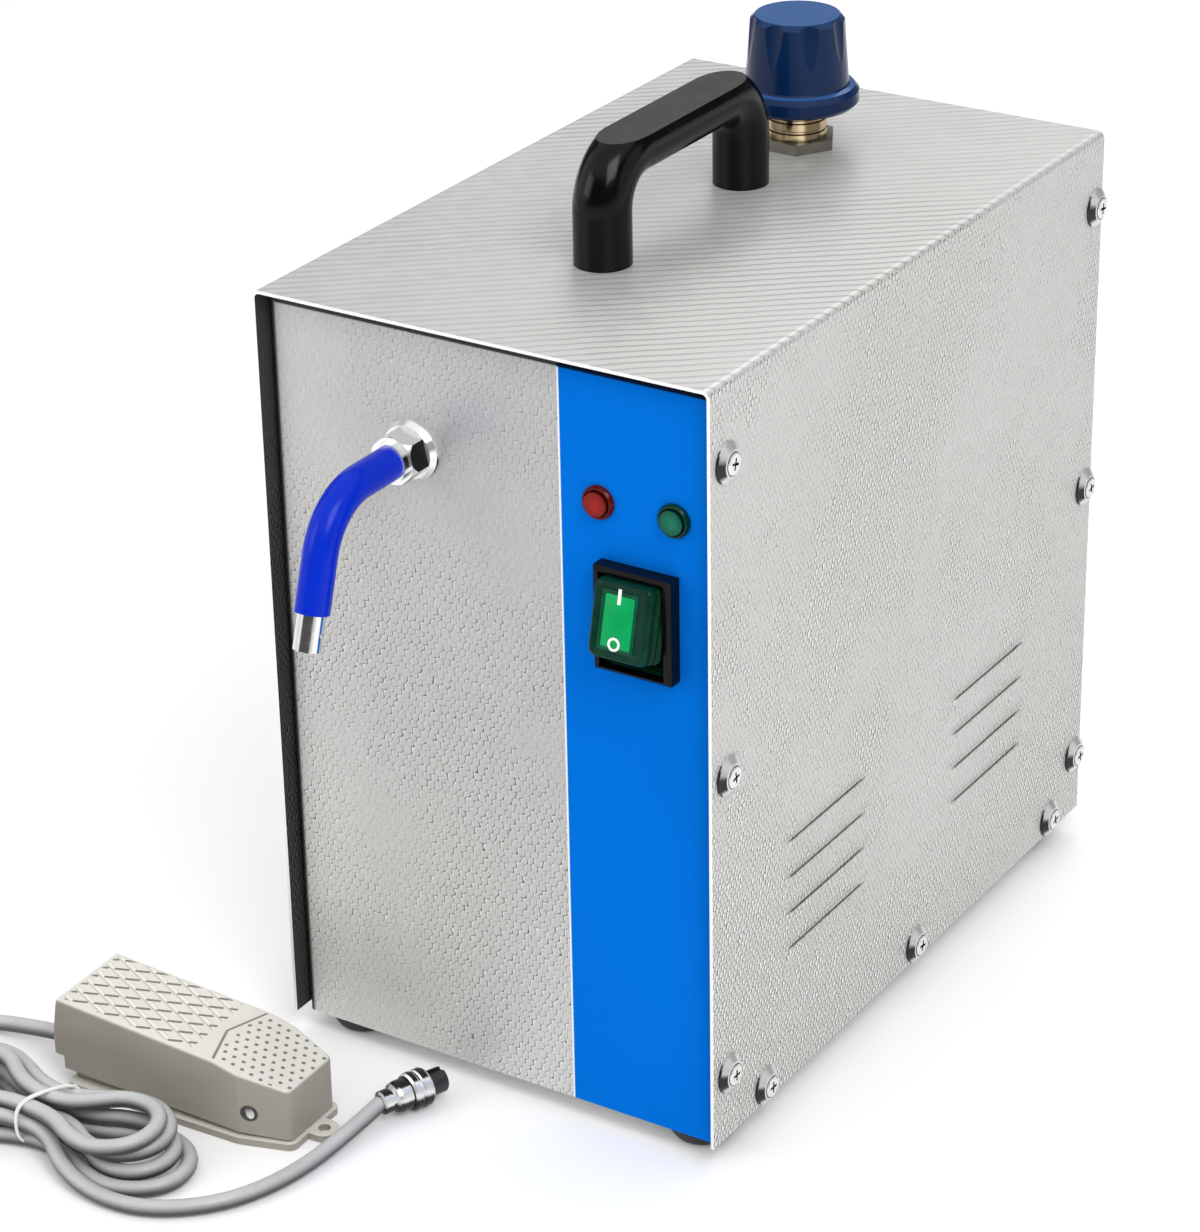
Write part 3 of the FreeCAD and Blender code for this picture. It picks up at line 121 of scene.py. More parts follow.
def w_box(towards, a, b, level):
    """soft panel of light seen in a direction"""
    n = w_add("ShaderNodeVectorMath", operation="DOT_PRODUCT")
    wt.links.new(w_dir, n.inputs[0])
    n.inputs[1].default_value = Vector(towards).normalized()
    return w_range(n.outputs["Value"], a, b, 0.0, level)


def w_max(*vs):
    out = vs[0]
    for v in vs[1:]:
        n = w_add("ShaderNodeMath", operation="MAXIMUM")
        wt.links.new(out, n.inputs[0])
        wt.links.new(v, n.inputs[1])
        out = n.outputs[0]
    return out


w_dir = w_add("ShaderNodeTexCoord").outputs["Generated"]
w_sep = w_add("ShaderNodeSeparateXYZ")
wt.links.new(w_dir, w_sep.inputs[0])
# what lights the matt surfaces: an even grey room, whiter overhead
soft = w_range(w_sep.outputs["Z"], 0.0, 1.0, 0.44, 0.98)
# what the shiny surfaces mirror: a dark room with panels overhead, to the left, behind and a low one to the right
shiny = w_max(w_range(w_sep.outputs["Z"], 0.52, 0.70, 0.085, 1.05), w_box((-0.80, -0.42, 0.30), 0.80, 0.90, 1.15),
              w_box((-0.45, 0.80, 0.42), 0.55, 0.95, 0.26), w_box((0.93, 0.30, 0.16), 0.90, 0.955, 0.75))
w_path = w_add("ShaderNodeLightPath")
w_gloss = w_add("ShaderNodeMixShader")
w_seen = w_add("ShaderNodeMixShader")
wt.links.new(w_path.outputs["Is Glossy Ray"], w_gloss.inputs[0])
wt.links.new(w_grey(soft, 0.90), w_gloss.inputs[1])
wt.links.new(w_grey(shiny, 1.0), w_gloss.inputs[2])
wt.links.new(w_path.outputs["Is Camera Ray"], w_seen.inputs[0])
wt.links.new(w_gloss.outputs[0], w_seen.inputs[1])
wt.links.new(w_grey((1, 1, 1), 1.0), w_seen.inputs[2])
wt.links.new(w_seen.outputs[0], w_add("ShaderNodeOutputWorld").inputs["Surface"])

area("key", (1.05, -0.75, 1.45), (0.03, 0.0, 0.15), 0.9, 14.0)
area("front_fill", (-0.9, -1.3, 0.9), (0.0, -0.1, 0.12), 0.8, 4.5)
area("back_top", (-0.3, 1.1, 1.3), (0.0, 0.05, 0.2), 0.8, 4.5)


# ------------------------------------------------------------------ materials
class Mat:
    """a node material built up step by step"""

    def __init__(self, name):
        self.m = bpy.data.materials.new(name)
        self.m.use_nodes = True
        self.t = self.m.node_tree
        self.b = self.t.nodes["Principled BSDF"]
        self.co = self.add("ShaderNodeTexCoord").outputs["Object"]

    def add(self, kind, **kw):
        n = self.t.nodes.new(kind)
        for key, value in kw.items():
            setattr(n, key, value)
        return n

    def wire(self, a, b):
        self.t.links.new(a, b)

    def math(self, op, a, b=None, c=None):
        n = self.add("ShaderNodeMath", operation=op)
        for i, v in enumerate((a, b, c)):
            if v is None:
                continue
            if isinstance(v, (int, float)):
                n.inputs[i].default_value = v
            else:
                self.wire(v, n.inputs[i])
        return n.outputs[0]

    def noise(self, scale, detail=3.0, rough=0.55, co=None, distortion=0.0):
        n = self.add("ShaderNodeTexNoise")
        n.inputs["Scale"].default_value = scale
        n.inputs["Detail"].default_value = detail
        n.inputs["Roughness"].default_value = rough
        n.inputs["Distortion"].default_value = distortion
        self.wire(co or self.co, n.inputs["Vector"])
        return n.outputs["Fac"]

    def scaled(self, sx, sy, sz, co=None):
        n = self.add("ShaderNodeVectorMath", operation="MULTIPLY")
        self.wire(co or self.co, n.inputs[0])
        n.inputs[1].default_value = (sx, sy, sz)
        return n.outputs[0]

    def remap(self, v, a, b, c, d, smooth=False):
        n = self.add("ShaderNodeMapRange")
        if smooth:
            n.interpolation_type = "SMOOTHSTEP"
        n.inputs["From Min"].default_value = a
        n.inputs["From Max"].default_value = b
        n.inputs["To Min"].default_value = c
        n.inputs["To Max"].default_value = d
        self.wire(v, n.inputs["Value"])
        return n.outputs["Result"]

    def mix(self, fac, a, b, blend="MIX"):
        n = self.add("ShaderNodeMix", data_type="RGBA", blend_type=blend)
        for v, i in ((fac, 0), (a, 6), (b, 7)):
            if isinstance(v, (int, float)):
                n.inputs[i].default_value = v
            elif isinstance(v, tuple):
                n.inputs[i].default_value = (*v, 1) if len(v) == 3 else v
            else:
                self.wire(v, n.inputs[i])
        return n.outputs[2]

    def normal(self):
        """the surface's direction in the piece's own frame"""
        n = self.add("ShaderNodeSeparateXYZ")
        self.wire(self.add("ShaderNodeTexCoord").outputs["Normal"], n.inputs[0])
        return n.outputs["X"], n.outputs["Y"], n.outputs["Z"]

    def along(self, x, y, z):
        """how far the surface faces a direction, -1 to 1"""
        n = self.add("ShaderNodeVectorMath", operation="DOT_PRODUCT")
        self.wire(self.add("ShaderNodeTexCoord").outputs["Normal"], n.inputs[0])
        n.inputs[1].default_value = Vector((x, y, z)).normalized()
        return n.outputs["Value"]

    def honeycomb(self, px, pz):
        """nearest centre of a hexagonal grid: offset from it along both axes, and distance"""
        r3 = math.sqrt(3.0)

        def wrap(v, period, shift):
            v = self.math("ADD", v, shift) if shift else v
            k = self.math("ROUND", self.math("DIVIDE", v, period))
            return self.math("SUBTRACT", v, self.math("MULTIPLY", k, period))

        ax, az = wrap(px, 1.0, 0.0), wrap(pz, r3, 0.0)
        bx, bz = wrap(px, 1.0, 0.5), wrap(pz, r3, r3 / 2)
        da = self.math("ADD", self.math("MULTIPLY", ax, ax), self.math("MULTIPLY", az, az))
        db = self.math("ADD", self.math("MULTIPLY", bx, bx), self.math("MULTIPLY", bz, bz))
        pick = self.math("LESS_THAN", da, db)

        def choose(a, b):
            return self.math("ADD", b, self.math("MULTIPLY", pick, self.math("SUBTRACT", a, b)))

        return choose(ax, bx), choose(az, bz), self.math("SQRT", choose(da, db))

    def colour(self, v):
        if isinstance(v, tuple):
            self.b.inputs["Base Color"].default_value = (*v, 1)
        else:
            self.wire(v, self.b.inputs["Base Color"])

    def rough(self, v):
        if isinstance(v, (int, float)):
            self.b.inputs["Roughness"].default_value = v
        else:
            self.wire(v, self.b.inputs["Roughness"])

    def bump(self, height, strength, distance):
        n = self.add("ShaderNodeBump")
        n.inputs["Strength"].default_value = strength
        n.inputs["Distance"].default_value = distance
        self.wire(height, n.inputs["Height"])
        self.wire(n.outputs["Normal"], self.b.inputs["Normal"])

    def set(self, **kw):
        for key, value in kw.items():
            self.b.inputs[key.replace("_", " ")].default_value = value
        return self


def shade(c, k):
    return tuple(min(1.0, x * k) for x in c)


def simple(name, colour, rough, metal=0.0, vary=0.06, scale=60.0, bump=0.05, grain=900.0, depth=0.0002, rvar=0.05, **sockets):
    """one material: a little mottling of the colour, uneven gloss, and a fine grain"""
    q = Mat(name)
    n1 = q.noise(scale, 4.0)
    q.colour(q.mix(q.remap(n1, 0.3, 0.7, 0.0, 1.0), shade(colour, 1 - vary), shade(colour, 1 + vary)))
    q.rough(q.remap(q.noise(scale * 2.3, 3.0), 0.3, 0.7, max(0.02, rough - rvar), min(1.0, rough + rvar)))
    if bump:
        q.bump(q.noise(grain, 2.0), bump, depth)
    q.set(Metallic=metal, **sockets)
    return q.m


def steel_sheet(name, base, panel=False):
    """embossed stainless sheet: cells on the front, upright strokes on the sides, low ribs on the top, drawn in the
    bump and as painted shade and painted highlight in the colour
    """
    q = Mat(name)
    nrm = q.add("ShaderNodeSeparateXYZ")
    tc = q.add("ShaderNodeTexCoord")
    q.wire(tc.outputs["Normal"], nrm.inputs[0])
    is_top = q.remap(q.math("ABSOLUTE", nrm.outputs["Z"]), 0.6, 0.75, 0.0, 1.0)
    is_side = q.remap(q.math("ABSOLUTE", nrm.outputs["X"]), 0.6, 0.75, 0.0, 1.0)
    sep = q.add("ShaderNodeSeparateXYZ")
    q.wire(q.co, sep.inputs[0])

    def warp(v, scale, amount):
        return q.math("ADD", v, q.math("MULTIPLY", q.math("SUBTRACT", q.noise(scale, 2.0), 0.5), amount))

    def grid(a, b, size, inner, outer):
        """rounded cells in hexagonal rows, each with a thin groove round it: painted shade on one flank and painted
        highlight on the other, as if lit from one side, and painted shade in the groove
        """
        px = warp(q.math("MULTIPLY", a, 1000.0 / size), 130.0, 1.5)
        pz = warp(q.math("MULTIPLY", b, 1000.0 / (size + 0.1)), 150.0, 1.5)
        gx, gz, d = q.honeycomb(px, pz)
        rim = q.remap(d, inner, outer, 0.0, 2.0, True)
        # painted light: each cell pale on the flank towards the light and dark on the other
        painted_flank_light = q.math("ADD", q.math("MULTIPLY", gx, -1.0), q.math("MULTIPLY", gz, 0.35))
        painted_flank_light = q.math("SUBTRACT", painted_flank_light, q.math("MULTIPLY", q.math("ABSOLUTE", painted_flank_light), 0.12))
        ring = q.remap(d, 0.40, 0.48, 0.0, 0.26, True)
        return q.math("SUBTRACT", q.math("MULTIPLY", painted_flank_light, rim), ring)

    front_e = grid(sep.outputs["X"], sep.outputs["Z"], 3.1, 0.35, 0.44)
    side_e = grid(sep.outputs["Y"], sep.outputs["Z"], 2.4, 0.28, 0.44)
    # some cells are struck deeper than others
    depth = q.remap(q.noise(310.0, 1.0), 0.36, 0.62, 0.45, 1.25, True)
    fibre = q.noise(1.0, 3.0, 0.65, q.scaled(1300.0, 1300.0, 300.0))
    # top: shallow ribs 4.7 mm apart running across the corner, each drawn with a thin line of painted shade
    kx, ky = 0.629 * 2 * math.pi / 0.0047, -0.777 * 2 * math.pi / 0.0047
    phase = q.math("ADD", q.math("MULTIPLY", sep.outputs["X"], kx), q.math("MULTIPLY", sep.outputs["Y"], ky))
    phase = q.math("ADD", phase, q.math("MULTIPLY", q.noise(16.0, 2.0), 5.0))
    phase = q.math("ADD", phase, q.math("MULTIPLY", q.noise(120.0, 2.0), 1.3))
    rib = q.remap(q.math("SINE", phase), -1.0, 1.0, 0.0, 1.0)
    rib_shade_line = q.remap(rib, 0.0, 0.42, 1.0, 0.0, True)
    # the emboss is deep in some areas and nearly gone in others; faint towards the top of the walls
    patch = q.remap(q.noise(11.0, 3.0, 0.6), 0.36, 0.58, 0.30, 1.0, True)
    lower = q.remap(sep.outputs["Z"], 0.13, 0.28, 1.0, 0.50, True)
    wall = q.math("MULTIPLY", q.math("MULTIPLY", patch, lower), depth)
    lid = q.remap(q.noise(9.0, 2.0), 0.38, 0.62, 0.45, 1.0, True)
    fine = q.math("SUBTRACT", fibre, 0.5)
    front = q.math("ADD", q.math("MULTIPLY", q.math("MULTIPLY", front_e, wall), 0.54), q.math("MULTIPLY", fine, 0.34))
    side = q.math("ADD", q.math("MULTIPLY", q.math("MULTIPLY", side_e, wall), 1.70), q.math("MULTIPLY", fine, 0.30))
    if not panel:
        # a faint crease above each louvre slit, where the press took hold of the sheet, drawn as a line of painted
        # shade
        up = q.math("MULTIPLY", q.math("SUBTRACT", sep.outputs["Z"], 0.0644), 1000.0)
        step = q.math("SUBTRACT", up, q.math("MULTIPLY", q.math("FLOOR", q.math("DIVIDE", up, 14.4)), 14.4))
        pair = q.math("MAXIMUM", q.remap(q.math("ABSOLUTE", q.math("SUBTRACT", step, 1.9)), 0.08, 0.34, 1.0, 0.0),
                      q.math("MULTIPLY", q.remap(q.math("ABSOLUTE", q.math("SUBTRACT", step, 3.1)), 0.08, 0.34, 1.0, 0.0), 0.7))
        within = q.math("MULTIPLY", q.remap(up, -0.5, 0.0, 0.0, 1.0), q.remap(up, 47.0, 47.5, 1.0, 0.0))
        ly = q.math("SUBTRACT", sep.outputs["Y"], OY / 1000)
        one = q.math("MULTIPLY", q.remap(ly, -0.0975, -0.0940, 0.0, 1.0), q.remap(ly, -0.0350, -0.0315, 1.0, 0.0))
        two = q.math("MULTIPLY", q.remap(ly, 0.0262, 0.0295, 0.0, 1.0), q.remap(ly, 0.0888, 0.0922, 1.0, 0.0))
        crease_shade = q.math("MULTIPLY", q.math("MULTIPLY", pair, within), q.math("MAXIMUM", one, two))
        side = q.math("SUBTRACT", side, q.math("MULTIPLY", crease_shade, 0.25))
    top = q.math("ADD", q.math("MULTIPLY", q.math("MULTIPLY", rib_shade_line, lid), -0.34), q.math("MULTIPLY", fine, 0.04))
    # the emboss goes into the colour as painted shade and painted highlight, and into the bump
    t = q.math("ADD", front, q.math("MULTIPLY", is_side, q.math("SUBTRACT", side, front)))
    t = q.math("ADD", t, q.math("MULTIPLY", is_top, q.math("SUBTRACT", top, t)))
    tone = q.math("ADD", 1.0, t)
    # painted shade: the lid is drawn a little darker than the front and the walls darker still; the bare inner faces
    # are painted dark as shade
    tone = q.math("MULTIPLY", tone, q.remap(is_top, 0.0, 1.0, 1.0, 0.98))
    tone = q.math("MULTIPLY", tone, q.remap(is_side, 0.0, 1.0, 1.0, 0.96))
    # painted highlight: the rounded bend between the lid and the walls is drawn brighter
    bend_highlight = q.math("MULTIPLY", q.remap(q.math("ABSOLUTE", nrm.outputs["X"]), 0.06, 0.30, 0.0, 1.0), q.remap(nrm.outputs["Z"], 0.04, 0.20, 0.0, 1.0))
    tone = q.math("MULTIPLY", tone, q.remap(bend_highlight, 0.0, 1.0, 1.0, 1.10))
    lx = q.math("SUBTRACT", sep.outputs["X"], OX / 1000)
    if panel:
        # painted shade: the panel is drawn near black along its side edges, in the gap by the walls, and along its top,
        # under the cover's front edge
        dark = q.remap(q.math("ABSOLUTE", lx), 0.0846, 0.0858, 0.0, 1.0)
        dark = q.math("MAXIMUM", dark, q.remap(sep.outputs["Z"], 0.2890, 0.2896, 0.0, 1.0))
        # drawn a little brighter at the foot and the left edge, against the fall-off of the studio light
        tone = q.math("MULTIPLY", tone, q.remap(sep.outputs["Z"], 0.02, 0.17, 1.30, 1.0, True))
        tone = q.math("MULTIPLY", tone, q.remap(lx, -0.080, -0.045, 1.10, 1.0, True))
        edge = None
    else:
        # painted shade: the shell's inner faces and the faces turned down are painted nearly black
        inner_face_shade = q.remap(q.math("MULTIPLY", nrm.outputs["X"], lx), -0.02, -0.01, 1.0, 0.0)
        # the inner face of a louvre lip, seen through its slit, still gets some light
        inner_face_shade = q.math("MULTIPLY", inner_face_shade, q.remap(q.math("ABSOLUTE", lx), 0.0901, 0.0902, 1.0, 0.35))
        dark = q.math("MAXIMUM", inner_face_shade, q.remap(nrm.outputs["Z"], -0.6, -0.4, 1.0, 0.0))
        # painted highlight: the shell's front cut edge is painted near white
        edge = q.math("MULTIPLY", q.remap(q.math("SUBTRACT", sep.outputs["Y"], OY / 1000), -0.1428, -0.1426, 1.0, 0.0), q.remap(nrm.outputs["Y"], -0.7, -0.6, 1.0, 0.0))
    tone = q.math("MULTIPLY", tone, q.remap(dark, 0.0, 1.0, 1.0, 0.09))
    c = q.mix(1.0, base, tone_colour(q, tone), "MULTIPLY")
    if edge is not None:
        c = q.mix(edge, c, (0.93, 0.93, 0.92))
    big = q.remap(q.noise(5.0, 2.0), 0.35, 0.65, 0.0, 1.0)
    c = q.mix(big, c, q.mix(1.0, c, (0.955, 0.955, 0.95), "MULTIPLY"))
    q.colour(c)
    q.rough(q.remap(q.noise(140.0, 2.0), 0.3, 0.7, 0.38, 0.48))
    q.bump(t, 0.20, 0.0003)
    q.wire(q.remap(dark, 0.0, 1.0, 0.34, 0.0), q.b.inputs["Metallic"])
    q.wire(q.remap(dark, 0.0, 1.0, 0.5, 0.05), q.b.inputs["Specular IOR Level"])
    return q.m


def tone_colour(q, tone):
    n = q.add("ShaderNodeCombineColor")
    for i in range(3):
        q.wire(tone, n.inputs[i])
    return n.outputs[0]


STEEL = (0.60, 0.60, 0.585)
mats = {}
mats["embossed_steel"] = steel_sheet("embossed_steel", STEEL)
mats["embossed_panel"] = steel_sheet("embossed_panel", shade(STEEL, 0.82), True)
mats["plain_steel"] = simple("plain_steel", (0.55, 0.55, 0.54), 0.36, 0.8, 0.08, 45.0, 0.12, 1200.0)
mats["spring_steel"] = simple("spring_steel", (0.45, 0.45, 0.45), 0.3, 1.0, 0.05, 80.0, 0.05, 2000.0)
mats["bright_plate"] = simple("bright_plate", (0.80, 0.80, 0.79), 0.11, 1.0, 0.03, 120.0, 0.03, 1500.0, rvar=0.03)
mats["foot_rubber"] = simple("foot_rubber", (0.016, 0.016, 0.016), 0.6, 0.0, 0.2, 90.0, 0.25, 1600.0)
mats["seal_rubber"] = simple("seal_rubber", (0.02, 0.02, 0.02), 0.55, 0.0, 0.2, 90.0, 0.25, 1600.0)
mats["neck_brass"] = simple("neck_brass", (0.80, 0.53, 0.25), 0.17, 1.0, 0.05, 70.0, 0.05, 1500.0)
mats["sleeve_blue"] = simple("sleeve_blue", (0.0010, 0.0240, 0.5200), 0.20, 0.0, 0.05, 90.0, 0.06, 1300.0, Specular_IOR_Level=0.14)
mats["black_gloss"] = simple("black_gloss", (0.0030, 0.0030, 0.0034), 0.22, 0.0, 0.15, 80.0, 0.05, 1500.0, Specular_IOR_Level=0.15)
mats["black_matt"] = simple("black_matt", (0.014, 0.014, 0.014), 0.45, 0.0, 0.15, 80.0, 0.15, 1700.0)
mats["insulation"] = simple("insulation", (0.62, 0.60, 0.54), 0.9, 0.0, 0.12, 40.0, 0.7, 350.0, 0.0006)
mats["alloy"] = simple("alloy", (0.66, 0.66, 0.67), 0.32, 0.9, 0.06, 60.0, 0.1, 1300.0)
mats["coil_red"] = simple("coil_red", (0.33, 0.03, 0.02), 0.4, 0.0, 0.1, 60.0, 0.1, 1300.0)
mats["terminal_white"] = simple("terminal_white", (0.80, 0.80, 0.76), 0.45, 0.0, 0.04, 60.0, 0.08, 1300.0)
mats["lever_blue"] = simple("lever_blue", (0.02, 0.09, 0.42), 0.3, 0.0, 0.08, 60.0, 0.1, 1300.0)
mats["button_red"] = simple("button_red", (0.5, 0.03, 0.02), 0.3, 0.0, 0.05, 60.0, 0.05, 1300.0)
mats["tie_white"] = simple("tie_white", (0.80, 0.80, 0.77), 0.4, 0.0, 0.05, 200.0, 0.1, 2500.0)
mats["hex_steel"] = simple("hex_steel", (0.185, 0.175, 0.150), 0.36, 0.7, 0.14, 90.0, 0.15, 1200.0)



def top_sheen_plastic(name, colour, top, a, b, rough, spec, vary, grain):
    """glossy plastic whose flat top is painted paler than its flanks: a painted sheen of the light from overhead"""
    q = Mat(name)
    nx, ny, nz = q.normal()
    c = q.mix(q.remap(q.noise(55.0, 4.0), 0.3, 0.7, 0.0, 1.0), shade(colour, 1 - vary), shade(colour, 1 + vary))
    q.colour(q.mix(q.remap(nz, a, b, 0.0, 1.0, True), c, top))
    q.rough(q.remap(q.noise(130.0, 3.0), 0.3, 0.7, rough - 0.04, rough + 0.05))
    q.bump(q.noise(grain, 2.0), 0.05, 0.0002)
    q.set(Specular_IOR_Level=spec)
    return q.m


mats["handle_black"] = top_sheen_plastic("handle_black", (0.0018, 0.0018, 0.0020), (0.046, 0.046, 0.045), 0.90, 0.99, 0.17, 0.20, 0.2, 900.0)
mats["cap_blue"] = top_sheen_plastic("cap_blue", (0.0022, 0.0170, 0.0680), (0.028, 0.098, 0.290), 0.62, 0.97, 0.18, 0.20, 0.08, 1100.0)


def plated(name, darks, bright=(0.86, 0.86, 0.85), dark=(0.020, 0.020, 0.022), rough=0.10, metal=1.0):
    """chrome: the surfaces that face a dark part of the room are painted so; darks are (direction, from, to)"""
    q = Mat(name)
    k = None
    for towards, a, b in darks:
        v = q.remap(q.along(*towards), a, b, 0.0, 1.0, True)
        k = v if k is None else q.math("MAXIMUM", k, v)
    c = q.mix(q.remap(q.noise(120.0, 3.0), 0.3, 0.7, 0.0, 1.0), shade(bright, 0.95), bright)
    q.colour(q.mix(k, c, dark))
    q.rough(q.remap(q.noise(260.0, 2.0), 0.3, 0.7, rough - 0.03, rough + 0.04))
    q.bump(q.noise(1500.0, 2.0), 0.03, 0.0002)
    q.set(Metallic=metal)
    return q.m


mats["chrome_nut"] = plated("chrome_nut", [((0.974, 0.0, 0.225), 0.93, 0.97), ((0.68, 0.0, -0.73), 0.86, 0.93)], (0.90, 0.90, 0.89), (0.010, 0.010, 0.011), 0.20, 0.75)
mats["chrome_flange"] = plated("chrome_flange", [((0.9, 0.0, -0.5), 0.86, 0.94)], (0.88, 0.88, 0.87), (0.020, 0.020, 0.022), 0.16, 0.70)
mats["chrome_cup"] = plated("chrome_cup", [((0.0, -1.0, -0.15), 0.44, 0.56)], (0.66, 0.66, 0.65), (0.022, 0.022, 0.024), 0.24, 0.55)
mats["chrome_plug"] = plated("chrome_plug", [((0.25, -0.2, -1.0), 0.10, 0.34), ((0.0, 0.0, 1.0), 0.80, 0.88), ((-0.75, -0.65, 0.0), 0.80, 0.90)], rough=0.26, metal=0.60)

# screws: bright heads, with painted shade in the cross recess and on every face not turned out to the side
q = Mat("screw_plate")
nx, ny, nz = q.normal()
k = q.remap(q.math("ABSOLUTE", nx), 0.25, 0.45, 1.0, 0.0)
q.colour(q.mix(k, q.mix(q.remap(q.noise(140.0, 3.0), 0.3, 0.7, 0.0, 1.0), (0.72, 0.72, 0.71), (0.80, 0.80, 0.79)), (0.015, 0.015, 0.015)))
q.rough(q.remap(q.noise(260.0, 2.0), 0.3, 0.7, 0.12, 0.2))
q.bump(q.noise(1500.0, 2.0), 0.03, 0.0002)
q.set(Metallic=0.5)
mats["screw_plate"] = q.m

# filler neck: polished brass with painted reflections, dark bands standing round it, and painted shade on the faces
# turned down into its grooves
q = Mat("neck_banded")
nx, ny, nz = q.normal()
turn_ = q.math("ARCTAN2", ny, nx)
reflection_band = q.remap(q.math("SINE", q.math("ADD", q.math("MULTIPLY", turn_, 5.0), 0.9)), -0.35, 0.35, 0.0, 1.0, True)
groove = q.remap(nz, -0.45, -0.15, 1.0, 0.0)
k = q.math("MAXIMUM", q.math("MULTIPLY", q.math("SUBTRACT", 1.0, reflection_band), 0.72), groove)
c = q.mix(q.remap(q.noise(90.0, 3.0), 0.3, 0.7, 0.0, 1.0), (1.0, 0.74, 0.42), (1.0, 0.84, 0.56))
q.colour(q.mix(k, c, (0.055, 0.022, 0.008)))
q.rough(q.remap(q.noise(240.0, 2.0), 0.3, 0.7, 0.12, 0.2))
q.bump(q.noise(1500.0, 2.0), 0.04, 0.0002)
q.set(Metallic=1.0)
mats["neck_banded"] = q.m

# cord: PVC jacket with a fine matt skin and faint scuffs, deep in shade on its underside
q = Mat("cord_grey")
n1 = q.noise(38.0, 4.0)
c = q.mix(q.remap(n1, 0.35, 0.65, 0.0, 1.0), (0.50, 0.505, 0.50), (0.56, 0.565, 0.56))
c = q.mix(q.remap(q.noise(420.0, 2.0), 0.62, 0.72, 0.0, 0.4), c, (0.41, 0.415, 0.41))
nx, ny, nz = q.normal()
q.colour(q.mix(q.remap(nz, -0.25, 0.92, 0.0, 1.0, True), (0.055, 0.055, 0.055), c))
q.rough(q.remap(q.noise(150.0, 3.0), 0.3, 0.7, 0.30, 0.42))
q.bump(q.noise(1400.0, 2.0), 0.06, 0.0002)
q.set(Specular_IOR_Level=0.45)
mats["cord_grey"] = q.m

# blue film with its white edge on the left
q = Mat("film_blue")
sep = q.add("ShaderNodeSeparateXYZ")
q.wire(q.co, sep.inputs[0])
edge = q.remap(sep.outputs["X"], (28.6 + OX + 0.70) / 1000, (28.6 + OX + 0.78) / 1000, 0.0, 1.0)
n1 = q.noise(9.0, 3.0)
blue = q.mix(q.remap(n1, 0.3, 0.7, 0.0, 1.0), (0.0012, 0.152, 0.640), (0.0016, 0.166, 0.700))
blue = q.mix(edge, (0.84, 0.86, 0.88), blue)
# painted shade: the film's top strip, under the cover's front edge, is painted nearly black
q.colour(q.mix(q.remap(sep.outputs["Z"], 0.2890, 0.2896, 0.0, 1.0), blue, (0.004, 0.010, 0.030)))
q.rough(q.remap(q.noise(60.0, 3.0), 0.3, 0.7, 0.30, 0.40))
q.bump(q.noise(700.0, 2.0), 0.04, 0.0002)
q.set(Specular_IOR_Level=0.0)
mats["film_blue"] = q.m


def lens(name, deep, lit, at):
    """lamp lens: lit dome, a groove round it painted near black as shade, a deeper rim"""
    q = Mat(name)
    n = q.add("ShaderNodeVectorMath", operation="SUBTRACT")
    q.wire(q.scaled(1000.0, 0.0, 1000.0), n.inputs[0])
    n.inputs[1].default_value = (at + OX, 0.0, 244.6)
    length = q.add("ShaderNodeVectorMath", operation="LENGTH")
    q.wire(n.outputs[0], length.inputs[0])
    r = length.outputs["Value"]
    c = q.mix(q.remap(r, 0.8, 4.1, 0.0, 1.0, True), lit, shade(lit, 0.62))
    # painted shade: the groove round the dome is painted near black
    c = q.mix(q.remap(r, 4.25, 4.5, 0.0, 1.0, True), c, shade(deep, 0.18))
    c = q.mix(q.remap(r, 4.95, 5.2, 0.0, 1.0, True), c, deep)
    q.colour(q.mix(q.remap(q.noise(180.0, 3.0), 0.35, 0.65, 0.0, 0.3), c, shade(deep, 0.8)))
    q.rough(q.remap(q.noise(260.0, 2.0), 0.3, 0.7, 0.14, 0.22))
    q.bump(q.noise(900.0, 2.0), 0.05, 0.0002)
    q.set(Coat_Weight=0.03, Coat_Roughness=0.05, Specular_IOR_Level=0.16, IOR=1.49)
    return q.m


mats["lens_red"] = lens("lens_red", (0.110, 0.003, 0.002), (0.360, 0.012, 0.007), 44.2)
mats["lens_green"] = lens("lens_green", (0.001, 0.040, 0.028), (0.001, 0.165, 0.098), 73.2)
mats["rocker_green"] = simple("rocker_green", (0.0016, 0.0700, 0.0340), 0.20, 0.0, 0.25, 160.0, 0.05, 1100.0, Specular_IOR_Level=0.12)
mats["boot_green"] = simple("boot_green", (0.0018, 0.0320, 0.0170), 0.24, 0.0, 0.25, 160.0, 0.05, 1100.0, Specular_IOR_Level=0.10)

# moulded plastic of the pedal, with its tread: slots in staggered rows, a vee groove, and dots on the toe part
PX, PY_, YAW = -46.1 + OX, -192.3 + OY, math.radians(2.0)


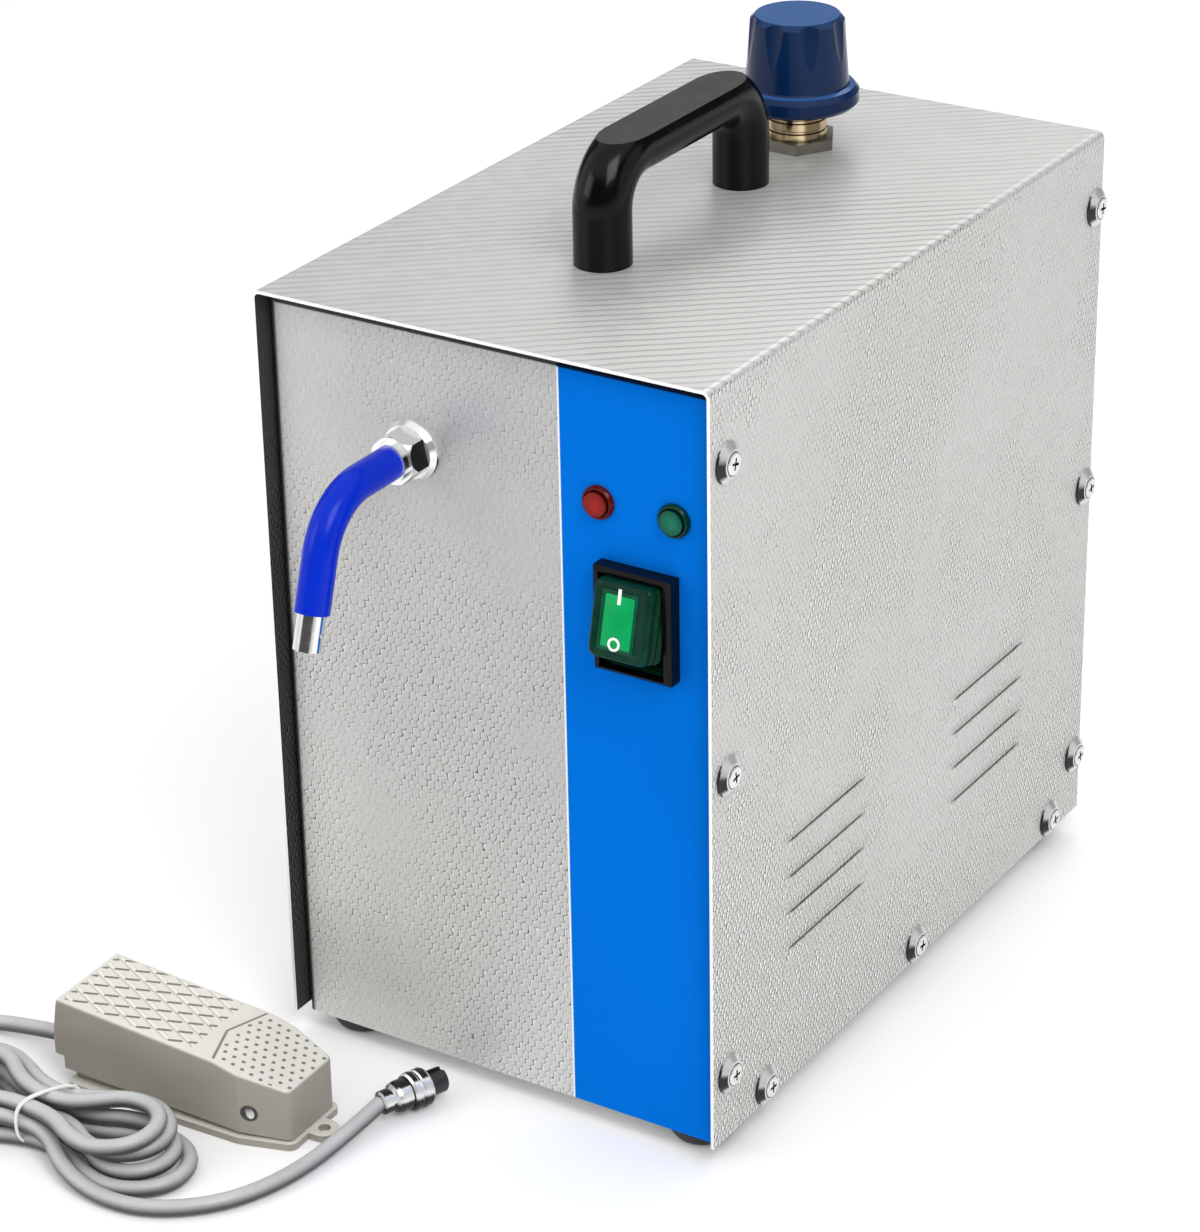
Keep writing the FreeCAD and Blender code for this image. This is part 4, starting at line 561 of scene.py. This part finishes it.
def pedal_plastic(name, tread):
    q = Mat(name)
    n1 = q.noise(30.0, 4.0)
    base = q.mix(q.remap(n1, 0.3, 0.7, 0.0, 1.0), (0.315, 0.292, 0.250), (0.355, 0.330, 0.285))
    tn = q.add("ShaderNodeSeparateXYZ")
    q.wire(q.add("ShaderNodeTexCoord").outputs["Normal"], tn.inputs[0])
    # painted shade: the flanks are painted much darker than the faces turned up to the light
    base = q.mix(q.remap(tn.outputs["Z"], 0.35, 0.90, 0.0, 1.0), base, q.mix(q.remap(n1, 0.3, 0.7, 0.0, 1.0), (0.700, 0.680, 0.615), (0.760, 0.740, 0.675)))
    grain = q.noise(1100.0, 3.0)
    h = q.math("MULTIPLY", grain, 0.12)
    if tread:
        # dark seat round each head of the pivot pin
        tn2 = q.add("ShaderNodeSeparateXYZ")
        q.wire(q.scaled(1000.0, 1000.0, 1000.0), tn2.inputs[0])
        pu = q.math("ADD", q.math("ADD", q.math("MULTIPLY", q.math("SUBTRACT", tn2.outputs["X"], PX), math.cos(YAW)), q.math("MULTIPLY", q.math("SUBTRACT", tn2.outputs["Y"], PY_), math.sin(YAW))), 15.0)
        pw = q.math("SUBTRACT", tn2.outputs["Z"], 12.6)
        pd = q.math("SQRT", q.math("ADD", q.math("MULTIPLY", pu, pu), q.math("MULTIPLY", pw, pw)))
        base = q.mix(q.remap(pd, 3.0, 3.5, 0.9, 0.0, True), base, (0.020, 0.018, 0.015))
        sep = q.add("ShaderNodeSeparateXYZ")
        q.wire(q.scaled(1000.0, 1000.0, 1000.0), sep.inputs[0])
        dx = q.math("SUBTRACT", sep.outputs["X"], PX)
        dy = q.math("SUBTRACT", sep.outputs["Y"], PY_)
        u = q.math("ADD", q.math("MULTIPLY", dx, math.cos(YAW)), q.math("MULTIPLY", dy, math.sin(YAW)))
        v = q.math("SUBTRACT", q.math("MULTIPLY", dy, math.cos(YAW)), q.math("MULTIPLY", dx, math.sin(YAW)))
        av = q.math("ABSOLUTE", v)
        # the vee groove: apex towards the high end
        groove = q.remap(q.math("ABSOLUTE", q.math("ADD", u, q.math("ADD", 35.4, q.math("MULTIPLY", av, -0.335)))), 0.30, 0.62, 1.0, 0.0, True)
        groove = q.math("MULTIPLY", groove, q.remap(av, 16.6, 17.1, 1.0, 0.0))
        # lattice behind it: raised ribs one way, slots between them the other way; ribs painted pale as a highlight
        # with a painted shadow beside each, slots painted dark as shade
        A, B = 3.40 / 6.10, -7.0 / 6.10
        du, dv = q.math("ADD", u, 47.0), q.math("SUBTRACT", v, 3.4)
        # (u, v) = -m (7.0, 3.05) + n (0, 6.3)
        mm = q.math("MULTIPLY", du, -1.0 / 7.0)
        nn = q.math("DIVIDE", q.math("ADD", dv, q.math("MULTIPLY", mm, 3.05)), 6.3)
        mf = q.math("SUBTRACT", mm, q.math("ROUND", mm))
        # along a slot, direction (6.9, 3.1); across it, by the row it stands in
        nf = q.math("SUBTRACT", nn, q.math("ROUND", nn))
        pu, pv = q.math("MULTIPLY", mf, -7.0), q.math("SUBTRACT", q.math("MULTIPLY", nf, 6.3), q.math("MULTIPLY", mf, 3.05))
        along = q.math("ABSOLUTE", q.math("ADD", q.math("MULTIPLY", pu, 0.912), q.math("MULTIPLY", pv, 0.410)))
        cross = q.math("ABSOLUTE", q.math("SUBTRACT", q.math("MULTIPLY", pv, 0.912), q.math("MULTIPLY", pu, 0.410)))
        slot = q.math("MULTIPLY", q.remap(cross, 0.42, 0.72, 1.0, 0.0, True), q.remap(along, 2.45, 2.9, 1.0, 0.0, True))
        # ribs, direction (6.9, -3.1), half way between the slots
        rr = q.math("ADD", q.math("MULTIPLY", q.math("ADD", du, 3.5), 0.410), q.math("MULTIPLY", dv, 0.912))
        rr = q.math("DIVIDE", rr, 5.74)
        rib = q.math("MULTIPLY", q.math("ABSOLUTE", q.math("SUBTRACT", rr, q.math("ROUND", rr))), 5.74)
        ridge = q.remap(rib, 0.45, 1.0, 1.0, 0.0, True)
        off = q.math("MULTIPLY", q.math("SUBTRACT", rr, q.math("ROUND", rr)), 5.74)
        rib_shadow = q.remap(q.math("ABSOLUTE", q.math("ADD", off, 1.15)), 0.15, 0.50, 1.0, 0.0, True)
        zone = q.math("MULTIPLY", q.remap(u, -40.1, -39.5, 1.0, 0.0), q.remap(av, 16.6, 17.1, 1.0, 0.0))
        zone = q.math("MULTIPLY", zone, q.remap(u, -96.0, -95.2, 0.0, 1.0))
        # nine rows of dots on the toe part, each other row moved half a pitch
        ri = q.math("DIVIDE", q.math("SUBTRACT", 14.5, v), 3.63)
        rn = q.math("ROUND", ri)
        fv = q.math("MULTIPLY", q.math("SUBTRACT", ri, rn), 3.63)
        odd = q.math("MODULO", q.math("ADD", rn, 40.0), 2.0)
        uu = q.math("DIVIDE", q.math("SUBTRACT", q.math("ADD", u, 30.6), q.math("MULTIPLY", odd, 2.0)), 3.87)
        un = q.math("ROUND", uu)
        fu = q.math("MULTIPLY", q.math("SUBTRACT", uu, un), 3.87)
        dot = q.remap(q.math("ADD", q.math("MULTIPLY", fu, fu), q.math("MULTIPLY", fv, fv)), 0.30, 0.66, 1.0, 0.0, True)
        zd = q.math("MULTIPLY", q.math("COMPARE", rn, 4.0, 4.2), q.math("COMPARE", un, 3.5, 3.7))
        outer = q.math("GREATER_THAN", q.math("ABSOLUTE", q.math("SUBTRACT", rn, 4.0)), 3.5)
        zd = q.math("MULTIPLY", zd, q.math("SUBTRACT", 1.0, q.math("MULTIPLY", outer, q.math("GREATER_THAN", q.math("ABSOLUTE", q.math("SUBTRACT", un, 3.5)), 3.0))))
        tc = q.add("ShaderNodeTexCoord")
        ns = q.add("ShaderNodeSeparateXYZ")
        q.wire(tc.outputs["Normal"], ns.inputs[0])
        upface = q.remap(ns.outputs["Z"], 0.90, 0.95, 0.0, 1.0)
        slot = q.math("MULTIPLY", q.math("MULTIPLY", slot, zone), upface)
        ridge = q.math("MULTIPLY", q.math("MULTIPLY", ridge, zone), upface)
        rib_shadow = q.math("MULTIPLY", q.math("MULTIPLY", rib_shadow, zone), upface)
        dot = q.math("MULTIPLY", q.math("MULTIPLY", dot, zd), upface)
        groove = q.math("MULTIPLY", groove, upface)
        # painted highlight on the ribs, painted shadow beside them, and painted shade in the slots, the dots and the
        # vee groove, which are also sunk in the bump
        dark = q.math("MAXIMUM", slot, q.math("MAXIMUM", dot, q.math("MULTIPLY", groove, 0.95)))
        base = q.mix(q.math("MULTIPLY", ridge, 0.60), base, (0.86, 0.85, 0.80))
        base = q.mix(q.math("MULTIPLY", rib_shadow, 0.42), base, (0.24, 0.225, 0.19))
        base = q.mix(q.math("MULTIPLY", dark, 0.80), base, (0.075, 0.068, 0.058))
        h = q.math("ADD", h, q.math("MULTIPLY", ridge, 0.55))
        h = q.math("SUBTRACT", h, dark)
        q.bump(h, 0.8, 0.0005)
    else:
        q.bump(h, 0.6, 0.0003)
    q.colour(base)
    q.rough(q.remap(q.noise(90.0, 3.0), 0.3, 0.7, 0.38, 0.52))
    q.set(Specular_IOR_Level=0.42)
    return q.m


mats["pedal_plastic"] = pedal_plastic("pedal_plastic", False)
mats["pedal_tread"] = pedal_plastic("pedal_tread", True)

# node -> material
FINISH = {
    "cover_shell": "embossed_steel", "front_panel": "embossed_panel", "rear_panel": "plain_steel", "base_tray": "plain_steel", "overlay_film": "film_blue",
    "feet": "foot_rubber", "foot_screws": "plain_steel", "cover_screws": "screw_plate", "cup_washers": "chrome_cup", "handle": "handle_black",
    "handle_screws": "plain_steel", "filler_neck": "neck_banded", "neck_nut": "hex_steel", "neck_gasket": "seal_rubber", "cap_knob": "cap_blue",
    "cap_insert": "neck_brass", "cap_seal": "seal_rubber", "relief_poppet": "neck_brass", "relief_spring": "spring_steel", "nozzle_flange": "chrome_flange",
    "nozzle_nut": "chrome_nut", "nozzle_pipe": "bright_plate", "nozzle_sleeve": "sleeve_blue", "lamp_lens_red": "lens_red", "lamp_lens_green": "lens_green",
    "lamp_bodies": "black_matt", "switch_housing": "black_gloss", "switch_rocker": "rocker_green", "switch_boot": "boot_green", "boiler_tank": "plain_steel",
    "boiler_jacket": "insulation", "boiler_cradle": "plain_steel", "heater_element": "plain_steel", "thermostat": "alloy", "pressure_switch": "black_matt",
    "solenoid_body": "neck_brass", "solenoid_coil": "coil_red", "solenoid_plunger": "plain_steel", "solenoid_spring": "spring_steel", "pipework": "alloy",
    "terminal_block": "terminal_white", "mains_inlet": "black_matt", "fuse_holder": "black_matt", "pedal_socket": "bright_plate", "drain_valve_body": "neck_brass",
    "drain_valve_lever": "lever_blue", "pedal_base": "pedal_plastic", "pedal_treadle": "pedal_tread", "pedal_pin": "bright_plate", "pedal_spring": "spring_steel",
    "pedal_microswitch": "black_matt", "pedal_button": "button_red", "pedal_gland": "cord_grey", "cord_to_hank": "cord_grey", "cord_hank": "cord_grey",
    "cord_lead": "cord_grey", "hank_tie": "tie_white", "plug_shell": "chrome_plug", "plug_ring": "chrome_plug", "plug_insert": "black_matt",
}
for name, finish in FINISH.items():
    ob = nodes[name]
    ob.data.materials.clear()
    ob.data.materials.append(mats[finish])
missing = sorted(set(nodes) - set(FINISH))
if missing:
    raise SystemExit("no finish for %s" % missing)


# ------------------------------------------------------------------ mesh helpers (sizes in mm, machine's own frame)
def mesh_object(name, verts, faces, mat, smooth=True, sharp=35.0):
    me = bpy.data.meshes.new(name)
    me.from_pydata([tuple(v) for v in verts], [], faces)
    me.update()
    ob = link(bpy.data.objects.new(name, me))
    bm = bmesh.new()
    bm.from_mesh(me)
    bmesh.ops.recalc_face_normals(bm, faces=bm.faces)
    for e in bm.edges:
        if len(e.link_faces) == 2 and e.calc_face_angle(0.0) > math.radians(sharp):
            e.smooth = False
    for f in bm.faces:
        f.smooth = smooth
    bm.to_mesh(me)
    bm.free()
    me.materials.append(mat)
    return ob


def rrect(a, b, r, n=5):
    """rounded rectangle, half sizes a and b, as (u, v) points"""
    r = min(r, a, b)
    out = []
    for cx, cy, start in ((a - r, b - r, 0), (-a + r, b - r, 90), (-a + r, -b + r, 180), (a - r, -b + r, 270)):
        for i in range(n + 1):
            t = math.radians(start + 90.0 * i / n)
            out.append((cx + r * math.cos(t), cy + r * math.sin(t)))
    return out


def loft(name, rings, place, mat, cap_start=False, cap_end=False, closed=False, sharp=35.0):
    """skin over rings of (u, v, w) points; place(u, v, w) gives the point"""
    verts, faces = [], []
    n = len(rings[0])
    for ring in rings:
        verts += [place(*p) for p in ring]
    last = len(rings) if closed else len(rings) - 1
    for i in range(last):
        for j in range(n):
            a, b = i * n + j, i * n + (j + 1) % n
            c, d = ((i + 1) % len(rings)) * n + (j + 1) % n, ((i + 1) % len(rings)) * n + j
            faces.append((a, b, c, d))
    if cap_start:
        faces.append(tuple(range(n - 1, -1, -1)))
    if cap_end:
        faces.append(tuple((len(rings) - 1) * n + j for j in range(n)))
    return mesh_object(name, verts, faces, mat, sharp=sharp)


def spun(name, profile, place, mat, n=48, closed=True, sharp=35.0):
    """profile of (r, w) points turned about the w axis"""
    rings = [[(r * math.cos(2 * math.pi * j / n), r * math.sin(2 * math.pi * j / n), w) for j in range(n)] for r, w in profile]
    return loft(name, rings, place, mat, closed=closed, sharp=sharp)


# ------------------------------------------------------------------ mains switch
SX, SY, SZ = 59.65, -132.5, 205.4
TILT = math.radians(-14.0)


def on_rocker(u, v, w):
    """u across, v up the face, w out from the pivot, before the tilt"""
    y, z = -w, v
    return P(SX + u, SY + y * math.cos(TILT) - z * math.sin(TILT), SZ + y * math.sin(TILT) + z * math.cos(TILT))


def ring3(a, b, r, w, n=5):
    return [(u, v, w) for u, v in rrect(a, b, r, n)]


boot_rings = [(11.5, 13.2, 2.2, 8.4), (11.8, 13.7, 2.6, 9.2), (11.8, 13.7, 2.7, 10.0), (11.3, 13.2, 2.4, 10.7), (10.9, 12.8, 2.2, 11.2),
              (11.2, 13.1, 2.4, 11.8), (11.5, 13.5, 2.7, 12.5), (11.5, 13.5, 2.7, 13.2), (11.0, 13.0, 2.4, 13.8), (10.6, 12.6, 2.2, 14.4),
              (10.9, 13.0, 2.4, 15.0), (11.2, 13.4, 2.6, 15.7), (11.3, 13.5, 2.7, 16.5), (11.15, 13.35, 2.7, 17.5), (10.8, 13.0, 2.6, 18.4),
              (10.2, 12.4, 2.4, 19.0), (9.6, 11.8, 2.2, 19.2), (9.1, 11.3, 2.0, 19.1), (8.7, 10.9, 1.8, 18.7), (8.4, 10.6, 1.7, 18.55)]
boot = loft("switch_boot_silicone", [ring3(*r) for r in boot_rings], on_rocker, mats["boot_green"], cap_start=True, cap_end=True)
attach(boot, "rocker")
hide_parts("switch_boot")

q = Mat("window_green")
lw = q.noise(120.0, 3.0)
q.colour(q.mix(q.remap(lw, 0.3, 0.7, 0.0, 1.0), (0.001, 0.285, 0.078), (0.002, 0.340, 0.098)))
q.rough(q.remap(q.noise(200.0, 2.0), 0.3, 0.7, 0.22, 0.34))
q.bump(q.noise(900.0, 2.0), 0.05, 0.0002)
q.set(Specular_IOR_Level=0.12)
q.b.inputs["Emission Color"].default_value = (0.0, 0.35, 0.08, 1)
q.b.inputs["Emission Strength"].default_value = 0.08
mats["window_green"] = q.m
WU, WV = -0.7, -0.1
win = loft("switch_window", [[(u + WU, v + WV, w) for u, v in rrect(a, b, r)] for a, b, r, w in
                             ((5.6, 8.9, 0.5, 18.4), (5.6, 8.9, 0.5, 18.72), (5.4, 8.7, 0.4, 18.82))], on_rocker, mats["window_green"], cap_end=True)
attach(win, "rocker")
frame_ring = loft("switch_window_frame", [[(u + WU, v + WV, w) for u, v in rrect(a, b, r)] for a, b, r, w in
                                          ((7.0, 10.2, 0.9, 18.5), (7.0, 10.2, 0.9, 18.76), (6.7, 9.9, 0.8, 18.86), (6.1, 9.4, 0.6, 18.80), (5.7, 9.0, 0.5, 18.6))],
                  on_rocker, mats["rocker_green"])
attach(frame_ring, "rocker")
q = Mat("mark_white")
q.colour(q.mix(q.remap(q.noise(300.0, 2.0), 0.3, 0.7, 0.0, 1.0), (0.86, 0.88, 0.86), (0.92, 0.93, 0.92)))
q.rough(q.remap(q.noise(300.0, 2.0), 0.3, 0.7, 0.3, 0.4))
q.bump(q.noise(1500.0, 2.0), 0.04, 0.0001)
mats["mark_white"] = q.m
mark_i = loft("switch_mark_on", [[(u - 0.9, v + 8.6, w) for u, v in rrect(a, b, r)] for a, b, r, w in
                                 ((0.62, 2.75, 0.15, 18.8), (0.62, 2.75, 0.15, 18.96), (0.55, 2.68, 0.1, 19.0))], on_rocker, mats["mark_white"], cap_end=True)
mark_o = spun("switch_mark_off", [(2.35, 18.8), (2.35, 18.96), (2.28, 19.0), (1.55, 19.0), (1.48, 18.96), (1.48, 18.8)],
              lambda u, v, w: on_rocker(u - 1.1, v - 7.7, w), mats["mark_white"], 40)
for ob in (mark_i, mark_o):
    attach(ob, "rocker")
# fixed skirt of the boot, clamped inside the bezel
skirt_rings = [(12.47, 17.45, 1.2, -4.0), (12.47, 17.45, 1.2, -7.4), (12.42, 17.3, 1.2, -7.8), (12.34, 16.9, 1.2, -7.4), (12.30, 16.5, 1.1, -6.6),
               (12.28, 16.2, 1.1, -5.8), (12.26, 15.9, 1.1, -5.4), (12.24, 15.6, 1.0, -6.0), (12.22, 15.3, 1.0, -6.3), (12.20, 15.1, 1.0, -5.8), (12.20, 15.0, 1.0, -4.0)]
skirt = loft("switch_boot_skirt", [[(u, v, w) for u, v in rrect(a, b, r)] for a, b, r, w in skirt_rings],
             lambda u, v, w: P(SX + u, SY + w, SZ + v), mats["boot_green"])
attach(skirt, "machine")

# ------------------------------------------------------------------ cord
ROUTE = [
    (-147.8, -195.9, 8.2), (-171.0, -197.0, 6.0), (-194.0, -200.0, 3.1), (-212.0, -213.0, 3.1), (-219.0, -235.0, 3.1), (-211.0, -256.0, 3.1),
    (-192.0, -267.0, 3.1), (-168.0, -266.5, 3.1), (-147.1, -259.5, 3.3), (-133.8, -253.2, 3.4), (-121.9, -250.9, 3.4), (-109.3, -252.4, 3.0),
    (-98.1, -258.0, 3.0), (-85.8, -261.3, 3.0), (-73.9, -257.5, 3.1), (-65.9, -248.2, 3.1), (-67.4, -235.5, 3.1), (-76.0, -227.0, 3.0),
    (-88.9, -225.3, 3.0), (-99.7, -232.3, 3.2), (-111.5, -236.4, 3.5), (-124.0, -237.9, 3.6), (-136.2, -236.0, 3.5), (-148.9, -232.2, 3.2),
    (-159.9, -226.3, 3.0), (-173.0, -226.1, 3.1), (-182.0, -235.2, 3.1), (-182.9, -247.6, 3.0), (-175.3, -257.3, 3.0), (-162.2, -259.1, 3.2),
    (-151.2, -252.9, 3.5), (-139.5, -248.4, 3.9), (-127.4, -245.2, 4.4), (-114.8, -245.6, 4.9), (-102.7, -248.7, 5.5), (-91.3, -255.5, 5.9),
    (-78.7, -254.6, 6.4), (-71.6, -245.3, 7.0), (-74.3, -233.6, 7.4), (-85.3, -227.7, 8.3), (-97.9, -230.2, 9.3), (-109.1, -235.9, 9.5),
    (-121.5, -238.0, 9.6), (-134.0, -236.8, 9.5), (-146.2, -233.7, 9.4), (-157.6, -228.4, 9.0), (-170.4, -229.1, 8.2), (-179.4, -238.7, 8.2),
    (-178.8, -251.8, 8.8), (-169.1, -260.5, 9.1), (-155.6, -260.4, 9.0), (-145.5, -252.8, 9.4), (-134.2, -247.7, 10.1), (-122.0, -244.8, 10.7),
    (-109.4, -246.9, 11.2), (-98.9, -254.1, 11.7), (-85.4, -254.7, 11.9), (-76.0, -245.8, 12.2), (-76.4, -233.8, 13.3), (-86.3, -225.8, 14.4),
    (-99.9, -226.4, 14.8), (-110.3, -233.8, 15.3), (-122.1, -237.9, 15.6), (-134.5, -235.4, 15.4), (-145.2, -229.2, 14.8), (-157.1, -224.7, 14.5),
    (-169.5, -227.6, 14.3), (-176.4, -238.6, 13.7), (-173.4, -250.3, 12.8), (-162.0, -257.2, 13.5), (-150.2, -255.0, 15.0), (-138.4, -251.3, 16.1),
    (-125.7, -251.0, 16.5), (-113.2, -252.6, 16.5), (-102.0, -258.9, 16.6), (-89.0, -261.2, 17.1), (-77.9, -253.1, 17.8), (-76.4, -240.1, 18.5),
    (-84.9, -230.7, 18.4), (-98.1, -230.8, 18.2), (-107.9, -239.1, 17.8), (-116.1, -243.7, 17.4), (-128.8, -243.7, 17.4), (-140.7, -239.4, 17.6),
    (-150.8, -231.5, 17.9), (-163.7, -230.7, 18.2), (-172.8, -239.2, 18.7), (-172.7, -252.6, 18.9), (-163.6, -261.7, 17.5), (-150.6, -262.4, 15.2),
    (-139.7, -257.3, 12.7), (-128.1, -252.6, 10.6), (-115.9, -253.2, 8.6), (-104.6, -261.9, 5.8), (-87.0, -267.3, 3.1), (-65.0, -265.8, 3.1),
    (-45.0, -250.5, 3.1), (-34.5, -228.0, 3.1), (-31.0, -201.0, 3.6), (-29.2, -175.0, 7.2),
]
cu = bpy.data.curves.new("pedal_cord", "CURVE")
cu.dimensions = "3D"
sp = cu.splines.new("NURBS")
sp.points.add(len(ROUTE) - 1)
for pt, (x, y, z) in zip(sp.points, ROUTE):
    pt.co = (*P(x, y, z), 1.0)
sp.order_u = 3
sp.use_endpoint_u = True
sp.resolution_u = 5
cu.bevel_depth = 0.003
cu.bevel_resolution = 5
cu.use_fill_caps = True
cord = link(bpy.data.objects.new("pedal_cord", cu))
cu.materials.append(mats["cord_grey"])
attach(cord, "pedal")
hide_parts("cord_to_hank", "cord_hank", "cord_lead")

# tie round the waist of the hank: two turns of coated wire, its ends twisted together
TX, TY = -122.5, -244.6
TR = math.radians(-27.5)


def on_tie(s, z, t):
    """s along the tie's plane, t across it"""
    x, y = t, s
    return P(TX + x * math.cos(TR) - y * math.sin(TR), TY + x * math.sin(TR) + y * math.cos(TR), z)


tie_pts = []
turns, per = 2, 16
for i in range(turns * per + 1):
    a = 2 * math.pi * i / per + math.radians(40)
    s = 13.3 * math.copysign(abs(math.cos(a)) ** 0.75, math.cos(a))
    z = 10.9 + 9.9 * math.copysign(abs(math.sin(a)) ** 0.62, math.sin(a))
    tie_pts.append((s, z, -0.75 + 1.5 * i / (turns * per) + 0.12 * math.sin(5 * a)))
tc_ = bpy.data.curves.new("hank_tie_wire", "CURVE")
tc_.dimensions = "3D"
sp = tc_.splines.new("NURBS")
sp.points.add(len(tie_pts) - 1)
for pt, q3 in zip(sp.points, tie_pts):
    pt.co = (*on_tie(*q3), 1.0)
sp.order_u = 3
sp.use_endpoint_u = True
sp.resolution_u = 6
tc_.bevel_depth = 0.00055
tc_.bevel_resolution = 3
tc_.use_fill_caps = True
tie = link(bpy.data.objects.new("hank_tie_wire", tc_))
tc_.materials.append(mats["tie_white"])
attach(tie, "pedal")
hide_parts("hank_tie")

# ------------------------------------------------------------------ floor
q = Mat("floor_white")
n1 = q.noise(1.5, 2.0)
q.colour(q.mix(q.remap(n1, 0.3, 0.7, 0.0, 1.0), (0.93, 0.93, 0.93), (0.95, 0.95, 0.95)))
q.rough(0.7)
q.set(Specular_IOR_Level=0.0)
q.b.inputs["Emission Color"].default_value = (1, 1, 1, 1)
q.b.inputs["Emission Strength"].default_value = 0.10
me = bpy.data.meshes.new("floor")
S = 14.0
me.from_pydata([(-S, -S, -0.0002), (S, -S, -0.0002), (S, S, -0.0002), (-S, S, -0.0002)], [], [(0, 1, 2, 3)])
floor = link(bpy.data.objects.new("floor", me))
me.materials.append(q.m)
